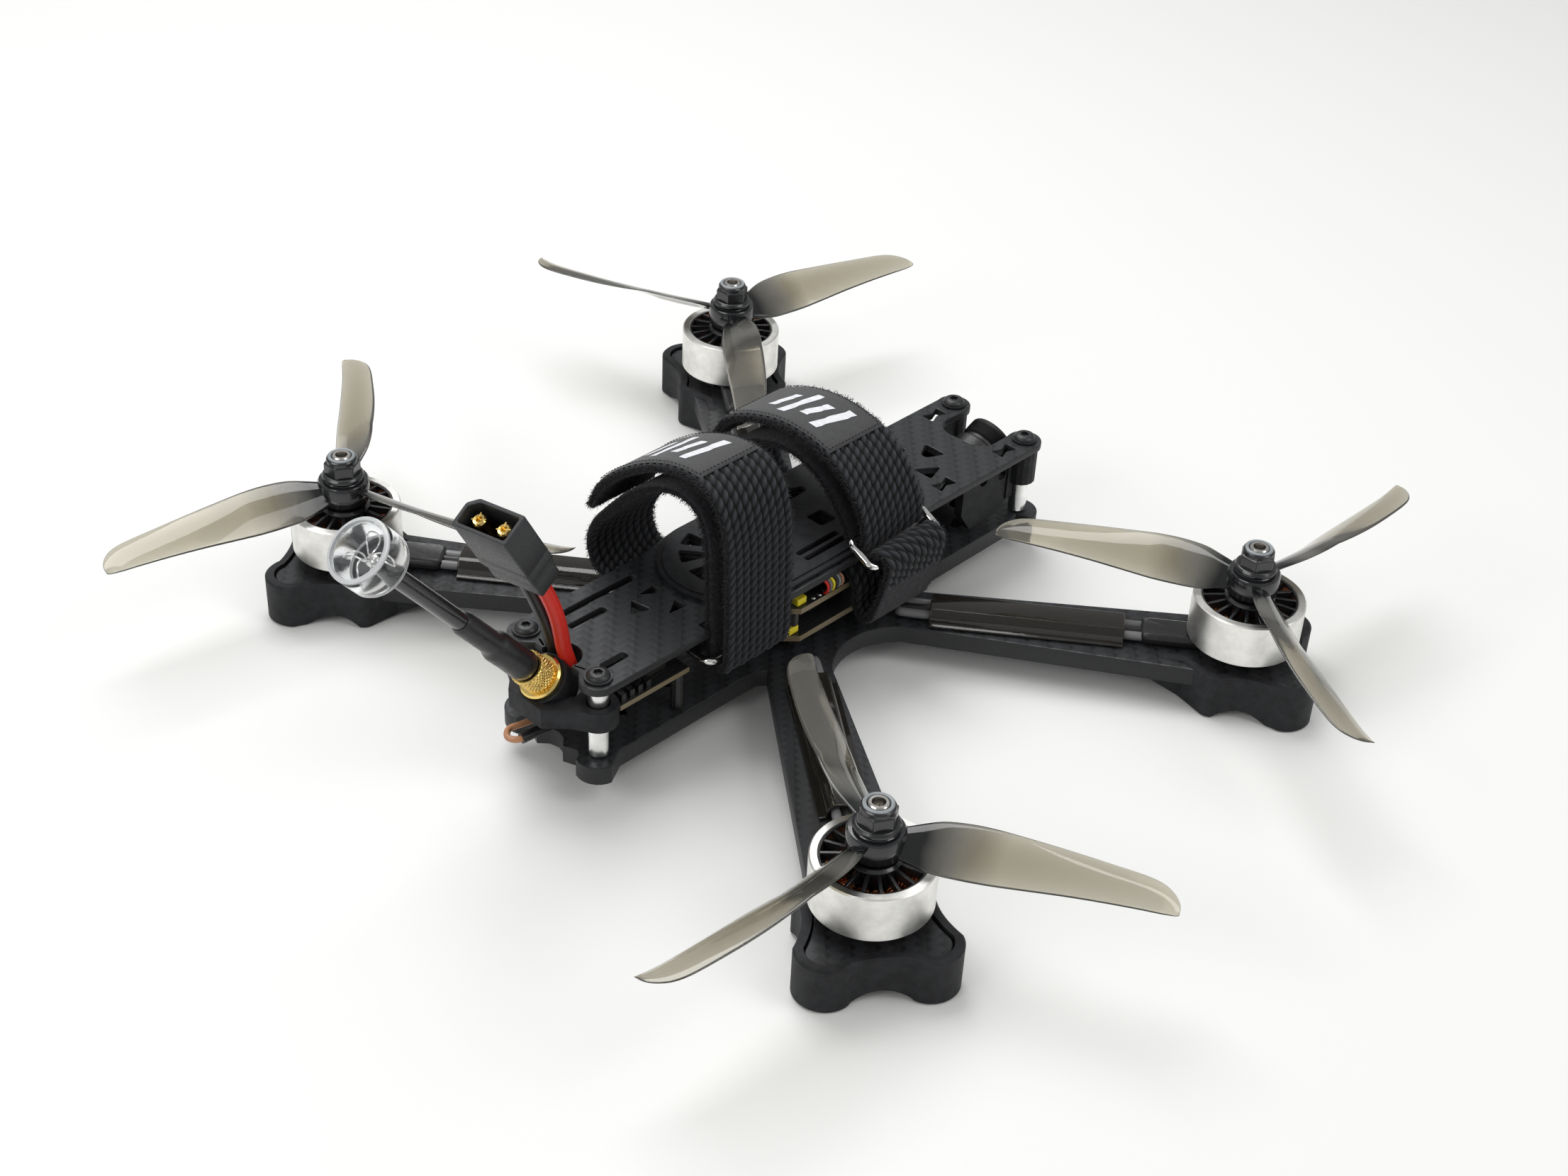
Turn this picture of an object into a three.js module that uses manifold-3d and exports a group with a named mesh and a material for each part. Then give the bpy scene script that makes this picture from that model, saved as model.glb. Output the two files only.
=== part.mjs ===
// A five-inch freestyle quadcopter with its battery straps, standing on its printed feet.
// Millimetres. +Y is the nose, +X the right-hand side and +Z up; the feet stand on z = 0.
import * as THREE from "three";
import { mergeVertices } from "three/addons/utils/BufferGeometryUtils.js";
import Module from "manifold-3d";

const wasm = await Module();
wasm.setup();

// ---- driving dimensions ----
const GAP = 0.3; // clearance between neighbouring pieces
const MOTOR = { x: 91, y: 69.3 }; // motor centre from the frame's centre
const ARM_ANGLE = Math.atan2(MOTOR.y, MOTOR.x);
const ARM_REACH = Math.hypot(MOTOR.x, MOTOR.y);
const ARM_HALF = 6.3;
const FRAME = { low: 6.5, high: 11.5, halfWidth: 15, halfLength: 79.5 };
const POST = { x: 12.4, y: 76.4, radius: 2.5 }; // the four standoffs
const TOP = { low: 31.5, high: 33.5, halfWidth: 16.8, waist: 19.4, halfLength: 80.5 };
const BELL = { low: 15.3, high: 27.3, radius: 14, wall: 1.8, spokes: 9, shaft: 2.5 };
const PROP = { radius: 64.75, hub: 6.5, low: 28.7, high: 35.5, middle: 32.1, pitch: 112 };
const NUT_TOP = 42.2;
const RIM_TOP = 12.3; // top of the printed foot round the motor pad
const OUTER_LOBE = { along: 11.4, across: 11.4, radius: 7.2 };
const INNER_LOBE = { along: -6.5, across: 12.2, radius: 3.6 };
const COVER = { start: 36, end: 85, top: 15.8, half: 4.7, skin: 0.8 };
const STACK = { half: 18, esc: 15.8, flight: 23.6, board: 1.6 };
const STRAP = { thick: 2.6, width: 21 };
const REAR_STRAP_Y = -34;
const FRONT_STRAP_Y = 12;
const CAMERA = { y: 66, z: 21.9, tilt: 25, half: 9 }; // tilt axis and degrees of nose-up tilt
const ANTENNA_RISE = THREE.MathUtils.degToRad(50.4);
const ANTENNA_ROOT = new THREE.Vector3(0, -82.3, 29.5);

const CORNERS = [
  { name: "rear_left", x: -1, y: -1, spin: -1, rest: 0.397 },
  { name: "front_left", x: -1, y: 1, spin: 1, rest: 1.345 },
  { name: "front_right", x: 1, y: 1, spin: -1, rest: -0.544 },
  { name: "rear_right", x: 1, y: -1, spin: 1, rest: 0.452 },
];

// ---- materials ----
const matter = (color, roughness, metalness = 0) =>
  new THREE.MeshStandardMaterial({ color, roughness, metalness });
const CARBON = matter(0x2b2d2f, 0.45);
const PRINT = matter(0x1f2123, 0.7);
const SILVER = matter(0xd2d1cb, 0.32, 0.9);
const BLACK_METAL = matter(0x17191b, 0.35, 0.6);
const SMOKE = matter(0x77766c, 0.2);
const COPPER = matter(0xb5602e, 0.35, 0.9);
const SHRINK = matter(0x1b1c1e, 0.5);
const GOLD = matter(0xe0b04a, 0.25, 1);
const BOARD = matter(0x26221c, 0.5);
const WEBBING = matter(0x202124, 0.95);
const WHITE_METAL = matter(0xf0efec, 0.35, 0.3);
const CLEAR = matter(0xe6e8ea, 0.15);
const RED = matter(0xb5221c, 0.45);

// ---- solids ----
function solid(geometry) {
  const loose = geometry.index ? geometry.toNonIndexed() : geometry;
  const bare = new THREE.BufferGeometry().setAttribute("position", loose.getAttribute("position"));
  const merged = mergeVertices(bare, 1e-4);
  const triVerts = [];
  const index = merged.index.array;
  for (let i = 0; i < index.length; i += 3) {
    const [a, b, c] = index.subarray(i, i + 3);
    if (a !== b && b !== c && c !== a) triVerts.push(a, b, c);
  }
  const build = (corners) =>
    new wasm.Manifold(
      new wasm.Mesh({
        numProp: 3,
        vertProperties: merged.attributes.position.array,
        triVerts: new Uint32Array(corners),
      }),
    );
  const made = build(triVerts);
  return made.volume() < 0 ? build(triVerts.reverse()) : made;
}

function geometryOf(made) {
  const mesh = made.getMesh();
  const points = new Float32Array(mesh.numVert * 3);
  for (let i = 0; i < mesh.numVert; i++) {
    points.set(mesh.vertProperties.subarray(i * mesh.numProp, i * mesh.numProp + 3), i * 3);
  }
  return new THREE.BufferGeometry()
    .setAttribute("position", new THREE.BufferAttribute(points, 3))
    .setIndex(new THREE.BufferAttribute(mesh.triVerts, 1));
}

const join = (...parts) => parts.reduce((all, next) => all.add(next));
const cut = (body, ...tools) => tools.reduce((left, tool) => left.subtract(tool), body);

function moved(made, { x = 0, y = 0, z = 0, rx = 0, ry = 0, rz = 0 }) {
  const place = new THREE.Matrix4()
    .makeRotationFromEuler(new THREE.Euler(rx, ry, rz, "XYZ"))
    .setPosition(x, y, z);
  return solid(geometryOf(made).applyMatrix4(place));
}

function prism(outline, low, high, segments = 4) {
  const shape = Array.isArray(outline)
    ? new THREE.Shape(outline.map(([x, y]) => new THREE.Vector2(x, y)))
    : outline;
  const flat = new THREE.ExtrudeGeometry(shape, {
    depth: high - low,
    bevelEnabled: false,
    curveSegments: segments,
  });
  return solid(flat.translate(0, 0, low));
}

function turned(profile, sides = 16) {
  const points = profile.map(([radius, height]) => new THREE.Vector2(radius, height));
  return solid(new THREE.LatheGeometry(points, sides).rotateX(Math.PI / 2));
}

const rod = (radius, low, high, sides = 16) =>
  turned([[0, low], [radius, low], [radius, high], [0, high]], sides);

const box = (x0, x1, y0, y1, z0, z1) =>
  solid(new THREE.BoxGeometry(x1 - x0, y1 - y0, z1 - z0)
    .translate((x0 + x1) / 2, (y0 + y1) / 2, (z0 + z1) / 2));

function pipe(points, radius, steps) {
  const section = new THREE.Shape();
  section.absarc(0, 0, radius, 0, Math.PI * 2, false);
  const path = new THREE.CatmullRomCurve3(points.map((p) => new THREE.Vector3(...p)));
  return solid(new THREE.ExtrudeGeometry(section, {
    steps,
    curveSegments: 4,
    extrudePath: path,
    bevelEnabled: false,
  }));
}

// A band of even thickness along an open line in the XZ plane, as wide as y0 to y1.
function band(line, thick, y0, y1, samples) {
  const curve = new THREE.SplineCurve(line.map(([x, z]) => new THREE.Vector2(x, z)));
  const sides = [[], []];
  for (let i = 0; i <= samples; i++) {
    const at = curve.getPointAt(i / samples);
    const along = curve.getTangentAt(i / samples);
    const out = new THREE.Vector2(-along.y, along.x).multiplyScalar(thick / 2);
    sides[0].push([at.x + out.x, at.y + out.y]);
    sides[1].push([at.x - out.x, at.y - out.y]);
  }
  const flat = prism([...sides[0], ...sides[1].reverse()], -y1, -y0);
  return solid(geometryOf(flat).rotateX(Math.PI / 2));
}

const mirrorX = (outline) => outline.map(([x, y]) => [-x, y]);
const disc = (x, y, radius, low, high, sides = 14) => moved(rod(radius, low, high, sides), { x, y });

const drone = new THREE.Group();
function add(name, made, material, place) {
  const mesh = new THREE.Mesh(geometryOf(made), material);
  mesh.name = name;
  (place ?? drone).add(mesh);
  return mesh;
}

// ---- carbon frame ----
// The foot's outline about the motor, arm pointing along +X, drawn inwards by the given inset.
function footOutline(inset) {
  const outer = OUTER_LOBE;
  const inner = INNER_LOBE;
  const big = outer.radius - inset;
  const small = inner.radius - inset / 2;
  const back = inner.across + inner.radius - inset;
  const shape = new THREE.Shape();
  shape.absarc(outer.along, -outer.across, big, -1.75, 0.75, false);
  shape.quadraticCurveTo(15.2 - inset, 0, outer.along + big * Math.cos(-0.75),
    outer.across + big * Math.sin(-0.75));
  shape.absarc(outer.along, outer.across, big, -0.75, 1.75, false);
  shape.quadraticCurveTo(1.5, 13.4 - inset, inner.along + 1, back);
  shape.absarc(inner.along, back - small, small, 1.3, 2.6, false);
  shape.lineTo(-14.5, ARM_HALF + 2.6 - inset);
  shape.lineTo(-14.5, -(ARM_HALF + 2.6 - inset));
  shape.absarc(inner.along, -(back - small), small, -2.6, -1.3, false);
  shape.quadraticCurveTo(1.5, -(13.4 - inset), outer.along + big * Math.cos(-1.75),
    -outer.across + big * Math.sin(-1.75));
  return shape;
}

function armBar(length, half, low, high) {
  return box(0, length, -half, half, low, high);
}

function atCorner(made, corner, reach = ARM_REACH) {
  const angle = Math.atan2(corner.y * MOTOR.y, corner.x * MOTOR.x);
  return moved(made, { x: reach * Math.cos(angle), y: reach * Math.sin(angle), rz: angle });
}

function ears(radius, low, high) {
  return CORNERS.map((c) => disc(c.x * POST.x, c.y * POST.y, radius, low, high));
}

function mainPlate() {
  const { low, high, halfWidth: w, halfLength: l } = FRAME;
  const rootFillet = (x, y) => {
    const shape = new THREE.Shape();
    shape.moveTo(x * (w - 2), y * 17);
    shape.lineTo(x * w, y * 28);
    shape.quadraticCurveTo(x * (w + 0.4), y * 20.5, x * 23, y * 25.4);
    shape.lineTo(x * 24, y * 20);
    return prism(shape, low, high);
  };
  const web = cut(box(-29, 29, -14, 14, low, high), disc(40.1, 0, 18, 0, 20, 28),
    disc(-40.1, 0, 18, 0, 20, 28));
  let plate = join(box(-w, w, -l, l, low, high), web, ...ears(5.6, low, high));
  for (const corner of CORNERS) {
    const bar = armBar(ARM_REACH, ARM_HALF, low, high);
    const pad = atCorner(prism(footOutline(2.6), low, high, 3), corner);
    const hole = atCorner(rod(4, 0, 20, 10), corner);
    plate = cut(join(plate, atCorner(bar, corner, 0), rootFillet(corner.x, corner.y), pad), hole);
    plate = cut(plate, disc(corner.x * 7.9, corner.y * 81.6, 2.6, 0, 20, 8),
      disc(corner.x * POST.x, corner.y * POST.y, 1.4, 0, 20, 6));
  }
  const wedge = [[3, -44], [6.4, -45.5], [3.6, -49.2]];
  const wedgeRear = wedge.map(([x, y]) => [x, y - 16]);
  const wedgeMid = wedge.map(([x, y]) => [x, y + 16]);
  const dee = [[-2.2, 67.5], [2.2, 67.5], [1.6, 64.2], [-1.6, 64.2]];
  const deeSide = [[4, 60.5], [7.8, 61], [7.4, 56.6], [5.6, 56.4]];
  const holes = [wedge, wedgeRear, wedgeMid, deeSide].flatMap((h) => [h, mirrorX(h)]);
  return cut(plate, ...[...holes, dee].map((h) => prism(h, 0, 20)),
    disc(0, -85.5, 8, 0, 20), disc(0, 83, 7, 0, 20), disc(0, 0, 5.5, 0, 20, 12));
}

const bowTie = (x, y) => [
  [x - 1.9, y + 2.9], [x + 1.9, y + 2.9], [x + 0.7, y], [x + 1.9, y - 2.9],
  [x - 1.9, y - 2.9], [x - 0.7, y],
];
const slot = (x, y0, y1, half = 1.1) => [[x - half, y0], [x + half, y0], [x + half, y1], [x - half, y1]];
// Wedge windows that fan out round a point behind the middle of the plate.
function fanWindow(angle, near, far) {
  const corner = (radius, turn) =>
    [radius * Math.cos(angle + turn), -19 + radius * Math.sin(angle + turn)];
  return [corner(near, -0.1), corner(far, -0.19), corner(far, 0.19), corner(near, 0.1)];
}
const FAN = [-2.75, -2.2, -1.57, -0.94, -0.39];
// The rear strap comes up through the right edge of the plate and the pad.
const STRAP_WAY = box(13.2, 30, REAR_STRAP_Y - 11.4, REAR_STRAP_Y + 11.4, 0, 50);

function topPlate() {
  const { low, high, halfWidth: w, waist, halfLength: l } = TOP;
  const side = (x) => {
    const shape = new THREE.Shape();
    shape.moveTo(0, -(l - 2.5));
    shape.lineTo(x * w, -(l - 2.5));
    shape.lineTo(x * w, -38);
    shape.bezierCurveTo(x * w, -30, x * waist, -30, x * waist, -22);
    shape.lineTo(x * waist, 20);
    shape.bezierCurveTo(x * waist, 28, x * w, 26, x * w, 34);
    shape.lineTo(x * w, l - 4);
    shape.lineTo(0, l - 4);
    return prism(shape, low, high);
  };
  const plate = join(side(1), side(-1), ...ears(4.6, low, high));
  const triangle = [[-3.8, 55], [2.9, 55], [0.6, 50.2], [-1.4, 50.2]];
  const gable = [[2.2, 43.4], [8.2, 43.4], [6.2, 49.4]];
  const tail = [[-4.6, -50.4], [1, -49.4], [-0.6, -54.2]];
  const hoop = [[2.2, -42.6], [5.6, -42.4], [5.2, -47.4]];
  const tick = [[4.6, -77.6], [8, -76.4], [8.3, -77.3], [4.9, -78.5]];
  const rounded = [[-12.4, 8.5], [-10.2, 13.5], [-8.6, 13], [-8.2, 7.2]];
  const pane = [[0.4, 5], [5.4, 5], [5.6, 9.4], [0.8, 9.4]];
  const holes = [
    triangle, gable, mirrorX(gable), tail, hoop, mirrorX(hoop), tick, mirrorX(tick), rounded, pane,
    bowTie(12.2, 68.2), bowTie(-12.2, 68.2), bowTie(12.2, 43.8), bowTie(-12.2, 43.8),
    slot(-11.5, -66.5, -43, 1), slot(-6.4, -68.2, -57), slot(9.9, -73, -65.4),
    ...FAN.map((a) => fanWindow(a, 7.5, 15)),
  ];
  const nose = join(box(-8.1, 8.1, 69, 90, 0, 50), box(-3, 3, 63.8, 90, 0, 50),
    disc(-3, 69, 5.15, 0, 50, 16), disc(3, 69, 5.15, 0, 50, 16));
  const cable = join(box(-5, 5, -90, -76.6, 0, 50), disc(0, -76.6, 5, 0, 50, 12));
  return cut(plate, ...holes.map((h) => prism(h, 0, 50)), nose, cable, STRAP_WAY,
    ...CORNERS.map((c) => disc(c.x * POST.x, c.y * POST.y, 1.5, 0, 50, 6)));
}

function batteryPad() {
  const low = TOP.high + GAP;
  const high = low + 1.3;
  const shape = new THREE.Shape();
  shape.moveTo(-18.4, 26);
  shape.lineTo(-18.4, -22);
  shape.bezierCurveTo(-18.4, -34, -10, -41.5, 0, -41.5);
  shape.bezierCurveTo(10, -41.5, 18.4, -34, 18.4, -22);
  shape.lineTo(18.4, 26);
  shape.bezierCurveTo(18.4, 34, 10, 40.5, 0, 40.5);
  shape.bezierCurveTo(-10, 40.5, -18.4, 34, -18.4, 26);
  const windows = [
    slot(10.2, -9, 5.5, 0.8), slot(13, -9, 5.5, 0.8), slot(-13, -9, 5.5, 0.8),
    [[-12.6, 7.5], [-10.2, 14.2], [-8.2, 13.6], [-7.8, 7]], [[0.2, 4.6], [5.6, 4.6], [5.9, 9.8], [0.6, 9.8]],
    ...FAN.map((a) => fanWindow(a, 7.2, 15.3)),
  ];
  return cut(prism(shape, low, high, 6), STRAP_WAY, ...windows.map((h) => prism(h, 0, 50)));
}

// ---- posts and screws ----
function standoff() {
  const { radius } = POST;
  const low = FRAME.high + GAP;
  const high = TOP.low - GAP;
  return turned([[0, low], [radius - 0.4, low], [radius, low + 0.5], [radius, high - 0.5],
    [radius - 0.4, high], [0, high]], 12);
}

function capScrew() {
  const seat = TOP.high + GAP;
  const head = turned([[0, TOP.low + 0.2], [1.2, TOP.low + 0.2], [1.2, seat], [2.9, seat],
    [2.75, seat + 0.9], [2.1, seat + 1.5], [0, seat + 1.65]], 12);
  return cut(head, rod(1, seat + 0.7, seat + 3, 6));
}

// ---- feet ----
function foot() {
  const floor = FRAME.low - GAP;
  const shell = prism(footOutline(0), 0, RIM_TOP, 3);
  const pocket = prism(footOutline(2.3), floor, 20, 3);
  const tail = new THREE.Shape();
  tail.moveTo(-13, 0);
  tail.lineTo(-26.5, FRAME.low - 0.6);
  tail.lineTo(-26.5, 9.4);
  tail.lineTo(-20, RIM_TOP);
  tail.lineTo(-13, RIM_TOP);
  const side = ARM_HALF + 2.6;
  const sleeve = moved(prism(tail, -side, side), { rx: Math.PI / 2 });
  const armWay = box(-40, -10, -ARM_HALF - GAP, ARM_HALF + GAP, floor, 20);
  const frontArch = moved(rod(14, -20, 20, 24), { x: 16, z: -11.4, ry: Math.PI / 2 });
  const sideArch = moved(rod(9, -20, 20, 24), { x: 1, z: -7.4, rx: Math.PI / 2 });
  const drain = prism([[-8, -5.5], [8, -5.5], [8, 5.5], [-8, 5.5]], -1, 20);
  const clearFront = frontArch.intersect(box(9.5, 30, -9, 9, -5, 8));
  const clearSide = join(sideArch.intersect(box(-8, 9, 9, 30, -5, 8)),
    sideArch.intersect(box(-8, 9, -30, -9, -5, 8)));
  return cut(join(shell, sleeve), pocket, armWay, drain, clearFront, clearSide);
}

// ---- motors ----
const STATOR_LOW = FRAME.high + GAP;
function stator() {
  const base = turned([[2.6, STATOR_LOW], [8.6, STATOR_LOW], [8.6, STATOR_LOW + 1.6],
    [6.5, STATOR_LOW + 2.7], [2.6, STATOR_LOW + 2.7], [2.6, STATOR_LOW]], 12);
  const hub = turned([[2.6, 14], [4.6, 14], [4.6, 23], [2.6, 23], [2.6, 14]], 10);
  const star = [];
  for (let i = 0; i < 9; i++) {
    for (const [radius, turn] of [[5, -0.2], [11.4, -0.2], [11.4, 0.2], [5, 0.2]]) {
      const angle = (i * Math.PI * 2) / 9 + turn;
      star.push([radius * Math.cos(angle), radius * Math.sin(angle)]);
    }
  }
  const core = cut(prism(star, 16.6, 22.6), rod(2.9, 0, 40, 10));
  return join(base, hub, core);
}

function bell() {
  const { low, high, radius, wall, spokes } = BELL;
  const inner = radius - wall;
  const shell = turned([[inner, low], [radius, low], [radius, high - 0.5], [radius - 0.5, high],
    [inner, high], [inner, low]], 22);
  const crown = turned([[0, high - 3], [inner + 0.4, high - 3], [inner + 0.4, high - 1],
    [6.2, high + 0.8], [0, high + 0.8]], 22);
  const shaft = turned([[0, 14.4], [2, 14.4], [2, high], [BELL.shaft, high], [BELL.shaft, NUT_TOP],
    [0, NUT_TOP]], 8);
  const slots = [];
  for (let i = 0; i < spokes; i++) {
    const slit = [[6.4, -1.5], [11.6, -3.2], [11.6, 3.2], [6.4, 1.5]];
    slots.push(moved(prism(slit, 20, 30), { rz: (i * 2 * Math.PI) / spokes }));
  }
  return join(shell, cut(crown, ...slots), shaft);
}

// One blade along +X for a counter-clockwise rotor: each row is radius, chord and the middle of the
// chord ahead of the radius line; the twist follows from the pitch.
const BLADE = [
  [4.5, 7.6, 0.2], [13, 11.6, 1.5], [25, 12.2, 2.6], [40, 10.5, 3.3], [56, 8.3, 3.3],
  [61, 6.4, 2.3], [PROP.radius - 0.2, 2.2, 0.4],
];
function blade(spin) {
  const section = 4; // points on each face from leading to trailing edge
  const rows = BLADE.map(([radius, chord, lead]) => {
    const twist = Math.min(0.62, Math.atan(PROP.pitch / (2 * Math.PI * radius)));
    const thick = 0.55 + 1.5 * Math.max(0, 1 - radius / 26) ** 2;
    const row = [];
    for (let k = 0; k < section * 2; k++) {
      const up = k < section;
      const t = up ? k / (section - 1) : (2 * section - 1 - k) / (section - 1);
      const bulge = Math.sin(Math.PI * Math.min(1, t * 1.02 + 0.02));
      const camber = 0.07 * chord * Math.sin(Math.PI * t);
      const off = camber + (up ? 1 : -1) * (0.18 + (thick / 2) * bulge);
      const across = (0.5 - t) * chord;
      const y = across * Math.cos(twist) - off * Math.sin(twist) + lead;
      const z = across * Math.sin(twist) + off * Math.cos(twist);
      row.push(new THREE.Vector3(radius, spin * y, PROP.middle + z));
    }
    return row;
  });
  const points = [];
  const quad = (a, b, c, d) => points.push(a, b, c, a, c, d);
  const around = section * 2;
  for (let i = 0; i < rows.length - 1; i++) {
    for (let k = 0; k < around; k++) {
      const n = (k + 1) % around;
      quad(rows[i][k], rows[i + 1][k], rows[i + 1][n], rows[i][n]);
    }
  }
  const cap = (row, flip) => {
    for (let k = 0; k < section - 1; k++) {
      const ring = [row[k], row[k + 1], row[around - 2 - k], row[around - 1 - k]];
      quad(...(flip ? ring.reverse() : ring));
    }
  };
  cap(rows[0], false);
  cap(rows.at(-1), true);
  return solid(new THREE.BufferGeometry().setFromPoints(points));
}

function propeller(corner) {
  const { hub, low, high } = PROP;
  const barrel = turned([[0, low], [hub - 0.9, low], [hub, low + 1.2], [hub, high],
    [0, high]], 12);
  const one = blade(corner.spin);
  const blades = [0, 1, 2].map((i) => moved(one, { rz: corner.rest + (i * 2 * Math.PI) / 3 }));
  return cut(join(barrel, ...blades), rod(BELL.shaft + GAP, 20, 50, 8));
}

function propNut() {
  const seat = PROP.high + GAP;
  const flange = turned([[0, seat], [5.4, seat], [4.9, seat + 1.4], [0, seat + 1.4]], 12);
  const hex = rod(4.7, seat + 1, seat + 4.6, 6);
  const collar = turned([[0, seat + 4], [4, seat + 4], [3.4, seat + 6.2], [0, seat + 6.2]], 10);
  return cut(join(flange, hex, collar), rod(BELL.shaft + GAP, 20, 60, 8));
}

// ---- wiring along the arms, arm pointing along +X from the frame's centre ----
function wireCover() {
  const { start, end, top, half, skin } = COVER;
  const low = FRAME.high + GAP;
  const hat = [[-ARM_HALF, low], [-half + skin, low], [-half + skin, top - 2], [-half + 1.6, top - skin],
    [half - 1.6, top - skin], [half - skin, top - 2], [half - skin, low], [ARM_HALF, low],
    [ARM_HALF, low + 0.6], [half, low + 0.6], [half, top - 1.4], [half - 1.2, top],
    [-half + 1.2, top], [-half, top - 1.4], [-half, low + 0.6], [-ARM_HALF, low + 0.6]];
  return solid(geometryOf(prism(hat, start, end)).applyMatrix4(new THREE.Matrix4().set(
    0, 0, 1, 0, 1, 0, 0, 0, 0, 1, 0, 0, 0, 0, 0, 1)));
}

function motorLeads() {
  const low = FRAME.high + GAP;
  const reach = ARM_REACH - 9.2;
  const wires = [-2.4, 0, 2.4].map((y) =>
    pipe([[27.5, y * 0.8, low + 1.5], [35, y, low + 1.3], [60, y, low + 1.3], [92, y, low + 1.3]], 1.22, 3));
  const sleeve = prism([[89, -3.6], [91, -4.3], [reach, -4.3], [reach, 4.3], [91, 4.3], [89, 3.6]],
    low, low + 3.3);
  return join(...wires, sleeve);
}

// ---- electronics ----
function board(half, y, low, trim = 3) {
  const h = half;
  const t = trim;
  return prism([[-h, y - h + t], [-h + t, y - h], [h - t, y - h], [h, y - h + t], [h, y + h - t],
    [h - t, y + h], [-h + t, y + h], [-h, y + h - t]], low, low + STACK.board);
}

function escBoard() {
  const low = STACK.esc;
  const top = low + STACK.board;
  const chips = [];
  for (const x of [-1, 1]) {
    for (let y = -14; y < 12; y += 8) {
      chips.push(box(x * 9.9 - 2.4, x * 9.9 + 2.4, y, y + 4.5, top - 0.1, top + 1));
    }
    chips.push(box(x * 15.5 - 1.6, x * 15.5 + 1.6, -8, 8, low - 1.2, low + 0.1));
  }
  const legs = [[-12, -12], [12, -12], [-12, 12], [12, 12]].map(([x, y]) =>
    disc(x, y, 2.4, FRAME.high + GAP, low + 0.2, 10));
  return join(board(STACK.half, 0, low), ...chips, ...legs);
}

function flightController() {
  const low = STACK.flight;
  const top = low + STACK.board;
  const legs = [[-15.25, -15.25], [15.25, -15.25], [-15.25, 15.25], [15.25, 15.25]].map(([x, y]) =>
    disc(x * 0.95, y * 0.95, 1.8, STACK.esc + STACK.board + GAP, low + 0.2, 10));
  const chips = [box(-4, 4, -4, 4, top - 0.1, top + 1), box(-13, -7, 5, 11, top - 0.1, top + 1.2),
    box(7, 13, -12, -7, top - 0.1, top + 1.4), box(10.4, 13.6, -17, -13.8, top - 0.1, top + 1.5),
    box(-17.2, -14.2, -5, 5, top - 0.1, top + 1.4)];
  return join(board(STACK.half - 0.4, 0, low), ...chips, ...legs);
}

function bootButton() {
  const low = STACK.flight + STACK.board + GAP;
  return cut(turned([[0, low], [0.9, low], [0.9, low + 1], [0.7, low + 1.2], [0, low + 1.2]], 12));
}

function videoTransmitter() {
  const plate = box(-13, 14, -71, -49, 22, 23.4);
  const shield = box(-9, 10, -68, -53, 23.3, 27.4);
  const pins = [0, 1, 2, 3].map((i) => box(11.4, 13.4, -70 + i * 2.6, -68.6 + i * 2.6, 23.3, 25.6));
  const legs = [[-11, -51], [12, -51]].map(([x, y]) => disc(x, y, 1.6, FRAME.high + GAP, 22.1, 10));
  return join(plate, shield, ...pins, ...legs);
}

// ---- antenna ----
function antennaMount() {
  const low = 19;
  const high = 28.4;
  const outline = new THREE.Shape();
  outline.moveTo(-POST.x, -71.5);
  outline.lineTo(POST.x, -71.5);
  outline.absarc(POST.x, -POST.y, 4.9, Math.PI / 2, -Math.PI / 2, true);
  outline.lineTo(5.5, -88);
  outline.lineTo(-5.5, -88);
  outline.lineTo(-POST.x, -POST.y - 4.9);
  outline.absarc(-POST.x, -POST.y, 4.9, -Math.PI / 2, Math.PI / 2, true);
  const block = prism(outline, low, high);
  const along = { x: ANTENNA_ROOT.x, y: ANTENNA_ROOT.y, z: ANTENNA_ROOT.z, rx: Math.PI / 2 - ANTENNA_RISE };
  const seat = moved(rod(20, 0, 30, 12), along);
  const bore = moved(rod(3.6, -30, 30, 12), along);
  const postWays = [-1, 1].map((x) => disc(x * POST.x, -POST.y, POST.radius + GAP, 0, 50, 16));
  const inside = box(-7, 7, -79.3, -60, low - 1, high + 1);
  return cut(block, seat, bore, inside, ...postWays);
}

const alongAntenna = (made) => moved(made, {
  x: ANTENNA_ROOT.x, y: ANTENNA_ROOT.y, z: ANTENNA_ROOT.z, rx: Math.PI / 2 - ANTENNA_RISE,
});

function antennaPlug() {
  const flange = turned([[0, GAP], [5.6, GAP], [5.6, 1.5], [5, 2], [0, 2]], 20);
  const nut = turned([[0, 1.8], [4.4, 1.8], [4.4, 8], [0, 8]], 16);
  const tail = rod(3.1, -6, 1, 16);
  return alongAntenna(join(flange, nut, tail));
}

function antennaStem() {
  const sleeve = [[0, 8.3], [3.7, 8.3], [3.8, 9], [3.8, 21], [3, 22.2], [2.9, 35], [2.3, 36],
    [2.2, 66.6], [0, 66.6]];
  return alongAntenna(turned(sleeve, 12));
}

function antennaCap() {
  const wall = 1;
  const { low, high, radius } = { low: 66.9, high: 75.4, radius: 7.5 };
  return alongAntenna(turned([[0, low], [radius - 0.6, low], [radius, low + 0.6], [radius, high - 0.5],
    [radius - 0.5, high], [radius - wall, high], [radius - wall - 0.4, high - 0.5], [0, high - 0.5]], 24));
}

function receiverAntenna() {
  return join(
    pipe([[-1.8, -72.5, 17.5], [-2.3, -79.7, 16.2], [-3.7, -85.5, 15.8], [-4.5, -89, 15.7],
      [-2.3, -91.2, 15.7], [0.1, -89.8, 15.8], [0.6, -86, 16]], 0.8, 18),
    pipe([[0.2, -89.3, 15.85], [0.7, -85, 16], [1.2, -80.5, 16.3], [1.3, -74.5, 17.2]], 1.3, 6),
  );
}

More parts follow.
